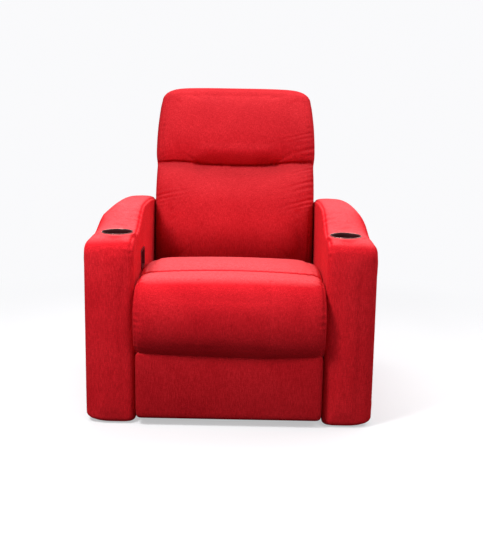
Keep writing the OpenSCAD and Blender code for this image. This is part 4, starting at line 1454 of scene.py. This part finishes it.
@dataclass
class Arm(Cover):
    """Padded arm with a low front for the cup holder and a raised rear."""

    voxel: float = 0.007
    smoothing: int = 1
    cap: float = 0.005
    pressure: float = 2.2
    side: Side = Side.LEFT
    inner: float = 0.300
    outer: float = 0.457
    front: float = -0.3965
    rear: float = 0.343
    foot: float = 0.0030
    foot_r: float = 0.017
    flare: float = 0.005
    slope: Triple = (0.630, 0.028, 0.013)
    front_top: float = 0.6115
    rise: float = 0.060
    fall: float = 0.028
    top_r: float = 0.054
    rear_r: float = 0.066
    inner_r: float = 0.036
    edge_r: float = 0.078
    hump: float = 1.35
    rise_y: float = -0.251822
    crest_y: float = -0.066822
    cup: Pair = (0.360, -0.307822)
    cup_r: float = 0.0447
    cup_depth: float = 0.074
    flange_r: float = 0.0515
    pocket: Pair = (-0.159822, 0.497)
    pocket_size: Triple = (0.0296, 0.0766, 0.0586)
    grip: float = 0.01
    collar_grip: float = 0.004
    collar_deep: float = 0.03
    rim: float = 0.008
    rim_fade: float = 0.045
    seam: Seam = Seam(0.0022, 0.0045, 0.0008, 0.03, 0.026)
    ripple: float = 0.0026
    ripple_pitch: float = 0.034
    ripple_reach: float = 0.02

    def outline(self) -> Outline:
        """Return the side outline, from the front foot round the rear and over the top."""
        o = Outline()
        face, foot, top, hump = 0.38, 0.30, 0.48, self.hump
        r = self.foot_r
        high = self.front_top + self.rise
        o.add(arc((self.front + r, self.foot + r), r, 180, 270, 6), face, foot)
        o.add(arc((self.rear - r, self.foot + r), r, 270, 360, 6), foot, face)
        rear_end = self.rear - self.rear_r
        o.add(arc((rear_end, high - self.fall - self.rear_r), self.rear_r, 0, 84, 9), face, hump)
        run = rear_end - self.crest_y
        o.add([(rear_end - run * t, high - self.fall * (1 - t) ** 2) for t in (i / 9 for i in range(1, 9))],
              hump, hump)
        length = self.crest_y - self.rise_y
        o.add([(self.crest_y - length * t, high - self.rise * (1 - math.cos(math.pi * t)) / 2)
               for t in (i / 16 for i in range(17))], hump, top)
        o.add(arc((self.front + self.top_r, self.front_top - self.top_r), self.top_r, 90, 180, 10), top, face)
        return o

    @staticmethod
    def inner_shares(shares: Array) -> Array:
        """Return the inner edge's shares: round down the front, tighter along the hump."""
        return np.interp(shares, (0.30, 0.38, 0.48, 1.35), (0.30, 0.60, 0.62, 0.45))

    def outside(self) -> Object:
        """Return the closed form before it is blown up."""
        spots = stations(self.inner, self.outer - 0.001, self.inner_r, self.edge_r, 9, 3)
        if self.side is Side.LEFT:
            spots = [Station(-v.x, v.inset, v.crown) for v in reversed(spots)]
        middle = self.inner + self.inner_r + 0.001
        name = f"{self.side.name.lower()}_arm_padding"
        return padded_form(name, self.outline(), spots, near=self.inner_shares, middle=middle)

    def from_cup(self, p: Array) -> Array:
        """Return how far each point is from the cup holder's axis."""
        return np.hypot(p[:, 0] - self.side.value * self.cup[0], p[:, 1] - self.cup[1])

    def held(self, p: Array) -> Array:
        """Say which points the box of boards and the cup holder hold."""
        collar = self.from_cup(p) < self.flange_r + self.collar_grip
        collar &= p[:, 2] > self.front_top - self.collar_deep
        return (p[:, 2] < self.foot + self.grip) | (p[:, 1] > self.rear - self.grip) | collar

    def kept(self, p: Array) -> Array:
        """Return the share of its swell that each point keeps: less near the held foot and rear."""
        low = ramp(p[:, 2] - self.foot, self.rim, self.rim_fade)
        return ease(np.minimum(low, ramp(self.rear - self.rim - p[:, 1], 0.0, self.rim_fade)))

    def prepare(self) -> None:
        """Build the form with even faces, level round the cup holder."""
        super().prepare()
        self.level(self.form, 0.014, 0.0)

    def level(self, form: Object, reach: float, lift: float) -> None:
        """Bring the padding round the cup holder to the flange's underside.

        Args:
            form: The arm's mesh.
            reach: How far past the flange this fades out.
            lift: Height over the arm's top.
        """
        p = Mesh.points(form)
        share = ease(np.clip((self.flange_r + reach - self.from_cup(p)) / reach, 0, 1))
        near = (p[:, 2] > self.front_top - self.collar_deep) & (share > 0)
        p[near, 2] += (self.front_top + lift - p[near, 2]) * share[near]
        Mesh.move(form, p)

    def crease(self) -> Array:
        """Return the seam along the inner edge of the arm's top."""
        top = sorted((y, z) for y, z, _ in self.outline().points
                     if z > self.front_top - 0.05 and y < self.rear - 0.02)
        y, z = np.array(top).T
        return rows(self.side.value * (self.inner + 0.006), y, z - 0.010)

    def wrinkle(self, form: Object) -> None:
        """Add soft upright ripples to the inner face.

        Args:
            form: The arm's mesh.
        """
        s = self.side.value
        p, n = Mesh.points(form), Mesh.normals(form)
        inner = np.clip(1 - (s * p[:, 0] - self.inner) / self.ripple_reach, 0, 1)
        depth = np.clip((self.front_top + 0.03 - p[:, 2]) / 0.08, 0, 1) * ramp(p[:, 2], 0.3, 0.1)
        wander = 1.6 * np.sin(p[:, 1] * 19 + s) + 0.5 * np.sin(p[:, 2] * 11)
        phase = p[:, 1] * 2 * math.pi / self.ripple_pitch + wander
        ripple = self.ripple * np.sin(phase) * (0.5 + 0.5 * np.sin(p[:, 1] * 9.0 + 2.0 * s))
        window = ramp(p[:, 1], -0.36, 0.06)
        Mesh.move(form, p - n * (np.maximum(0, ripple) * inner * depth * window)[:, None])

    def bore(self) -> Object:
        """Return the round bore of the cup holder, as a form to cut with."""
        x, y = self.side.value * self.cup[0], self.cup[1]
        ends = (self.front_top - self.cup_depth - 0.004, self.front_top + 0.05)
        return skin("cup_bore", [circle(x, y, z, self.cup_r) for z in ends])

    def pocket_box(self) -> Object:
        """Return the latch's pocket, as a form to cut with."""
        deep, wide, tall = self.pocket_size
        y, z = self.pocket
        corners = [(x, y + b * wide / 2, z + c * tall / 2)
                   for x in (-self.inner - deep, -self.inner + 0.01) for b in (-1, 1) for c in (-1, 1)]
        return Mesh.build("pocket_bore", corners, Mesh.BOX)

    def detail(self, form: Object, finishes: Finishes) -> None:
        """Press the seam and wrinkles, cut the openings and dress the arm.

        Args:
            form: The arm's mesh.
            finishes: The chair's finishes.
        """
        s = self.side.value
        self.level(form, 0.010, 0.0003)
        self.seam.press(form, Surface(form).drop(self.crease()))
        self.wrinkle(form)
        p = Mesh.points(form)
        # the outer face stands out a little towards the floor
        out = ramp(s * p[:, 0], self.inner, self.outer - self.inner)
        p[:, 0] += s * self.flare * out ** 2 * np.clip(1 - p[:, 2] / self.front_top, 0, 1)
        if self.side is Side.LEFT:
            # the photographed left hump slopes in more than the right one
            start, rise, reach = self.slope
            p[:, 0] -= s * reach * out * ramp(p[:, 2], start, rise)
        p[:, 0] = s * np.maximum(s * p[:, 0], self.inner + 0.0002)
        p[:, 2] = np.maximum(p[:, 2], self.foot - 0.0005)
        Mesh.move(form, p)
        Mesh.cut(form, self.bore())
        if self.side is Side.LEFT:
            Mesh.cut(form, self.pocket_box())
        Mesh.dress(form, Body.BASE, Slot.UPHOLSTERY, finishes.velvet)
        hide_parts(f"{self.side.name.lower()}_arm_cover")


@dataclass
class CupHolder:
    """Cup well with a thin metal rim, a dark wall and a ribbed floor."""

    side: Side
    centre: Pair = (0.360, -0.307822)
    top: float = 0.612
    bore: float = 0.0425
    wall: float = 0.002
    flange: float = 0.050
    rim: float = 0.0024
    depth: float = 0.072
    floor: float = 0.003

    def lathe(self, name: str, profile: Sequence[Pair], closed: bool) -> Object:
        """Turn a profile about the well's axis.

        Args:
            name: Name of the object.
            profile: Radius and height of each point.
            closed: Whether the profile's last point joins its first one.

        Returns:
            The turned object.
        """
        x, y = self.side.value * self.centre[0], self.centre[1]
        return skin(name, [circle(x, y, self.top + h, r) for r, h in profile], closed)

    def build(self, finishes: Finishes) -> Object:
        """Build the rim and the well.

        Args:
            finishes: The chair's finishes.

        Returns:
            The rim.
        """
        label = self.side.name.lower()
        r = self.rim / 2
        bead = self.flange - 2 * r - 0.001
        rim = [(bead, 0.0), (bead, self.rim * 0.6)]
        rim += [(self.flange - r + r * math.sin(a), self.rim - r + r * math.cos(a))
                for a in np.linspace(-math.pi / 3, math.pi, 11)]
        ring = self.lathe(f"{label}_cup_rim", rim, True)
        Mesh.dress(ring, Body.BASE, Slot.CUP, finishes.rim)
        low, base, bore = -self.depth, -self.depth - self.floor, self.bore
        out = self.bore + self.wall - 0.0002
        well = [(0.012, low + 0.0008), (0.012, low), (0.024, low), (0.0245, low + 0.0008),
                (0.0265, low + 0.0008), (0.027, low), (bore - 0.004, low), (bore - 0.0012, low + 0.0014),
                (bore, low + 0.004), (bore, -0.006), (bore + 0.0007, -0.002), (bore + 0.002, 0.0006),
                (bead, 0.0013), (bead, 0.0002), (out, 0.0002), (out, -0.006), (out, base + 0.004),
                (out - 0.0038, base + 0.0005), (0.012, base + 0.0004)]
        cup = self.lathe(f"{label}_cup_well", well, False)
        Mesh.dress(cup, Body.BASE, Slot.CUP, finishes.well)
        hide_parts(f"{label}_cup_holder")
        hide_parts(f"{label}_cup_holder")
        return ring


# Footrest and rear panel

@dataclass
class FootPad(Cover):
    """Upholstered footrest pad, which is the lower front panel while it is closed."""

    voxel: float = 0.006
    smoothing: int = 2
    cap: float = 0.006
    pressure: float = 2.6
    half: float = 0.2975
    back_y: float = -0.3663
    thick: float = 0.0455
    low: float = 0.0235
    top: float = 0.2120
    lip: float = 0.048
    edge: float = 0.012
    power: float = 0.30
    flat: float = 0.34
    low_grip: float = 0.016
    top_grip: float = 0.018
    side_grip: float = 0.014
    back_grip: float = 0.006

    def section(self) -> Array:
        """Return the side section: flat behind, crowned in front, with its upper edge raised in front."""
        mid, half = (self.low + self.top) / 2, (self.top - self.low) / 2
        points = [(self.back_y, self.top)]
        for a in np.radians(np.linspace(90, 270, 31)):
            y = self.back_y - self.thick * self.flat + self.thick * 0.66 * bow(math.cos(a), self.power)
            z = mid + half * bow(math.sin(a), self.power)
            rise = self.lip * (max(0.0, z - mid) / half) ** 2 * (self.back_y - y) / self.thick
            points.append((y, z + rise))
        return np.array([*points, (self.back_y, self.low)])

    def outside(self) -> Object:
        """Return the closed form before it is blown up."""
        y, z = self.section().T
        mid, tall = (self.low + self.top) / 2, (self.top - self.low) / 2
        rings = [rows(s.x, self.back_y + (y - self.back_y) * (1 - s.inset / self.thick),
                      mid + (z - mid) * (1 - s.inset / tall))
                 for s in stations(-self.half, self.half, self.edge, self.edge, 7, 12)]
        return skin("foot_pad_cover", rings)

    def held(self, p: Array) -> Array:
        """Say which points the board and the rim hold."""
        rim = (p[:, 2] < self.low + self.low_grip) | (p[:, 2] > self.top + self.top_grip)
        rim |= np.abs(p[:, 0]) > self.half - self.side_grip
        return rim | (p[:, 1] > self.back_y - self.back_grip)

    def detail(self, form: Object, finishes: Finishes) -> None:
        """Keep the pad between the arms, on its board and off the floor, and dress it.

        Args:
            form: The pad's mesh.
            finishes: The chair's finishes.
        """
        p = Mesh.points(form)
        p[:, 0] = np.clip(p[:, 0], -self.half - 0.0008, self.half + 0.0008)
        p[:, 1] = np.minimum(p[:, 1], self.back_y)
        p[:, 2] = np.maximum(p[:, 2], self.low - 0.004)
        Mesh.move(form, p)
        Mesh.dress(form, Body.FOOTREST, Slot.UPHOLSTERY, finishes.pad_velvet)
        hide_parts("foot_pad")


@dataclass
class RearPanel:
    """Fabric-covered board between the arms at the rear, with a thin layer of wadding."""

    half: float = 0.2994
    front: float = 0.314178
    thick: float = 0.015
    low: float = 0.039
    top: float = 0.289
    soft: float = 0.005
    soft_width: float = 0.012
    columns: int = 46
    levels: int = 20

    def build(self, finishes: Finishes) -> Object:
        """Build the panel with rounded, wrapped edges.

        Args:
            finishes: The chair's finishes.

        Returns:
            The panel.
        """
        nx, nz = self.columns, self.levels
        z, x = (v.ravel() for v in np.meshgrid(np.linspace(self.low, self.top, nz),
                                               np.linspace(-self.half, self.half, nx), indexing="ij"))
        inside = np.minimum(self.half - np.abs(x), np.minimum(z - self.low, self.top - z))
        edge = np.sqrt(np.maximum(0.0, 1 - (1 - np.minimum(1.0, inside / self.soft_width)) ** 2))
        ease_in = self.soft * (1 - edge)
        layers = [rows(x, self.front + ease_in * 0.4, z), rows(x, self.front + self.thick - ease_in, z)]
        size = nx * nz
        faces = []
        for a in (j * nx + i for j in range(nz - 1) for i in range(nx - 1)):
            faces.append((a, a + 1, a + nx + 1, a + nx))
            faces.append((size + a, size + a + nx, size + a + nx + 1, size + a + 1))
        rim = [*range(nx), *(j * nx + nx - 1 for j in range(1, nz)),
               *((nz - 1) * nx + i for i in range(nx - 2, -1, -1)), *(j * nx for j in range(nz - 2, 0, -1))]
        faces += [(b, a, size + a, size + b) for a, b in zip(rim, rim[1:] + rim[:1])]
        panel = Mesh.finer(Mesh.build("rear_panel_cover", np.concatenate(layers), faces))
        Mesh.dress(panel, Body.BASE, Slot.UPHOLSTERY, finishes.velvet)
        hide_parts("rear_panel")
        return panel


class Hardware:
    """Frame, mechanism and fasteners, which keep their CAD shapes and get real finishes."""

    @staticmethod
    def dress(finishes: Finishes) -> int:
        """Give every CAD node its finish.

        Args:
            finishes: The chair's finishes.

        Returns:
            How many nodes were dressed.
        """
        slots = {row["node"]: Slot(row["material_slot"]) for row in frame["record"]["subparts"]}
        for name, obj in frame["nodes"].items():
            if not obj.material_slots:
                obj.data.materials.append(None)
            for place in obj.material_slots:
                place.material = finishes.of(slots[name])
        return len(frame["nodes"])


# Room, lamps and camera

@dataclass(frozen=True)
class Lamp:
    """A soft rectangular lamp."""

    name: str
    place: Triple
    size: Pair
    watts: float
    aim: Triple = (0.0, 0.0, 0.5)

    def hang(self) -> Object:
        """Make the lamp, turned to the point it faces."""
        data = bpy.data.lights.new(self.name, "AREA")
        data.shape = "RECTANGLE"
        data.size, data.size_y = self.size
        data.energy = self.watts
        lamp = bpy.data.objects.new(self.name, data)
        lamp.location = self.place
        lamp.rotation_euler = (Vector(self.aim) - Vector(self.place)).to_track_quat("-Z", "Y").to_euler()
        bpy.context.scene.collection.objects.link(lamp)
        return lamp


@dataclass
class Studio:
    """Pale floor and backdrop, and soft lamps."""

    floor_size: float = 14.0
    floor_colour: Triple = (0.13, 0.13, 0.13)
    floor_lit: Triple = (0.9, 0.9, 0.915)
    shown: Triple = (0.955, 0.955, 0.97)
    shadow_share: float = 0.5
    shadow_near: float = 0.9
    shadow_far: float = 1.9
    zenith: float = 0.5
    horizon: float = 0.05
    lamps: tuple[Lamp, ...] = (Lamp("key", (-0.95, -1.20, 1.95), (0.5, 0.5), 41.0),
                               Lamp("top", (-0.1, 0.7, 2.7), (1.8, 1.2), 44.0),
                               Lamp("fill", (1.15, -1.5, 1.85), (0.9, 0.9), 15.0),
                               Lamp("side", (1.25, 0.15, 1.35), (0.8, 0.8), 9.0))

    def floor_finish(self) -> Material:
        """Return a matt floor that the camera sees as the pale backdrop, with the chair's shadow near it."""
        t = Shader("pale_floor", Roughness=0.95, Specular_IOR_Level=0.0, Base_Color=(*self.floor_colour, 1.0))
        lit = t.node("BsdfDiffuse", {"Color": (*self.floor_lit, 1.0)})
        plain = t.node("Emission", {"Color": (*self.shown, 1.0)})
        far = t.node("VectorMath", {0: t.place}, operation="LENGTH").outputs["Value"]
        near = t.span(far, self.shadow_share, 0.0, self.shadow_near, self.shadow_far, "SMOOTHSTEP")
        backdrop = t.node("MixShader", {0: near, 1: plain.outputs[0], 2: lit.outputs[0]})
        whole = t.node("MixShader", {0: t.seen(), 1: t.principled.outputs[0], 2: backdrop.outputs[0]})
        t.links.new(whole.outputs[0], t.output.inputs["Surface"])
        return t.material

    def floor(self) -> Object:
        """Lay a floor that is white to the camera and keeps the chair's shadow."""
        e = self.floor_size
        floor = Mesh.build("floor", [(-e, -e, 0.0), (e, -e, 0.0), (e, e, 0.0), (-e, e, 0.0)], [(0, 1, 2, 3)])
        floor.data.materials.append(self.floor_finish())
        return floor

    def world(self) -> None:
        """Fill the room softly and show the pale backdrop behind the chair."""
        world = bpy.data.worlds.new("room")
        bpy.context.scene.world = world
        t = Tree(world)
        height = t.height(t.node("TexCoord", {}).outputs["Generated"])
        soft = t.span(height, self.horizon, self.zenith)
        fill = t.node("Background", {"Color": (1.0, 1.0, 1.0, 1.0), "Strength": soft})
        backdrop = t.node("Background", {"Color": (*self.shown, 1.0), "Strength": 1.0})
        mixed = t.node("MixShader", {0: t.seen(), 1: fill.outputs[0], 2: backdrop.outputs[0]})
        t.node("OutputWorld", {0: mixed.outputs[0]})

    def build(self) -> None:
        """Set up floor, world, lamps and view."""
        self.floor()
        self.world()
        for lamp in self.lamps:
            lamp.hang()
        bpy.context.scene.view_settings.view_transform = "Standard"


@dataclass
class Viewpoint:
    """The photograph's camera."""

    place: Triple = (0.052, -2.93682, 1.111)
    yaw: float = 0.40
    pitch: float = 12.97
    roll: float = 0.95
    focal: float = 848.0
    height: int = 534
    sensor: float = 36.0

    def build(self) -> Object:
        """Make the camera and use it."""
        yaw, pitch, roll = (math.radians(a) for a in (self.yaw, self.pitch, self.roll))
        ahead = Vector((-math.sin(yaw) * math.cos(pitch), math.cos(yaw) * math.cos(pitch), -math.sin(pitch)))
        level = Vector((math.cos(yaw), math.sin(yaw), 0.0))
        up = level.cross(ahead)
        right = level * math.cos(roll) + up * math.sin(roll)
        above = up * math.cos(roll) - level * math.sin(roll)
        data = bpy.data.cameras.new("camera")
        data.sensor_width = self.sensor
        data.lens = self.focal * self.sensor / self.height
        data.clip_start, data.clip_end = 0.05, 60.0
        camera = bpy.data.objects.new("camera", data)
        turned = [(*row, shift) for row, shift in zip(zip(right, above, -ahead), self.place)]
        camera.matrix_world = Matrix([*turned, (0.0, 0.0, 0.0, 1.0)])
        bpy.context.scene.collection.objects.link(camera)
        bpy.context.scene.camera = camera
        return camera


def main() -> None:
    """Build the chair's pieces in order."""
    logging.basicConfig(level=logging.INFO, format="%(name)s: %(message)s")
    Viewpoint().build()
    Studio().build()
    finishes = Finishes()
    LOG.info("finishes made")
    LOG.info("%d CAD nodes dressed", Hardware.dress(finishes))
    covers = [SeatCushion(), BackCushion(), BackShell(), Arm(side=Side.LEFT), Arm(side=Side.RIGHT), FootPad()]
    for cover in covers:
        cover.prepare()
        LOG.info("%s formed with %d faces", cover.form.name, len(cover.form.data.polygons))
    blow_up(covers)
    LOG.info("padding blown up")
    for cover in covers:
        made = cover.finish(finishes)
        LOG.info("%s finished with %d faces", made.name, len(made.data.polygons))
    for side in Side:
        LOG.info("%s built", CupHolder(side).build(finishes).name)
    LOG.info("%s built", RearPanel().build(finishes).name)


if __name__ == "__main__":
    main()
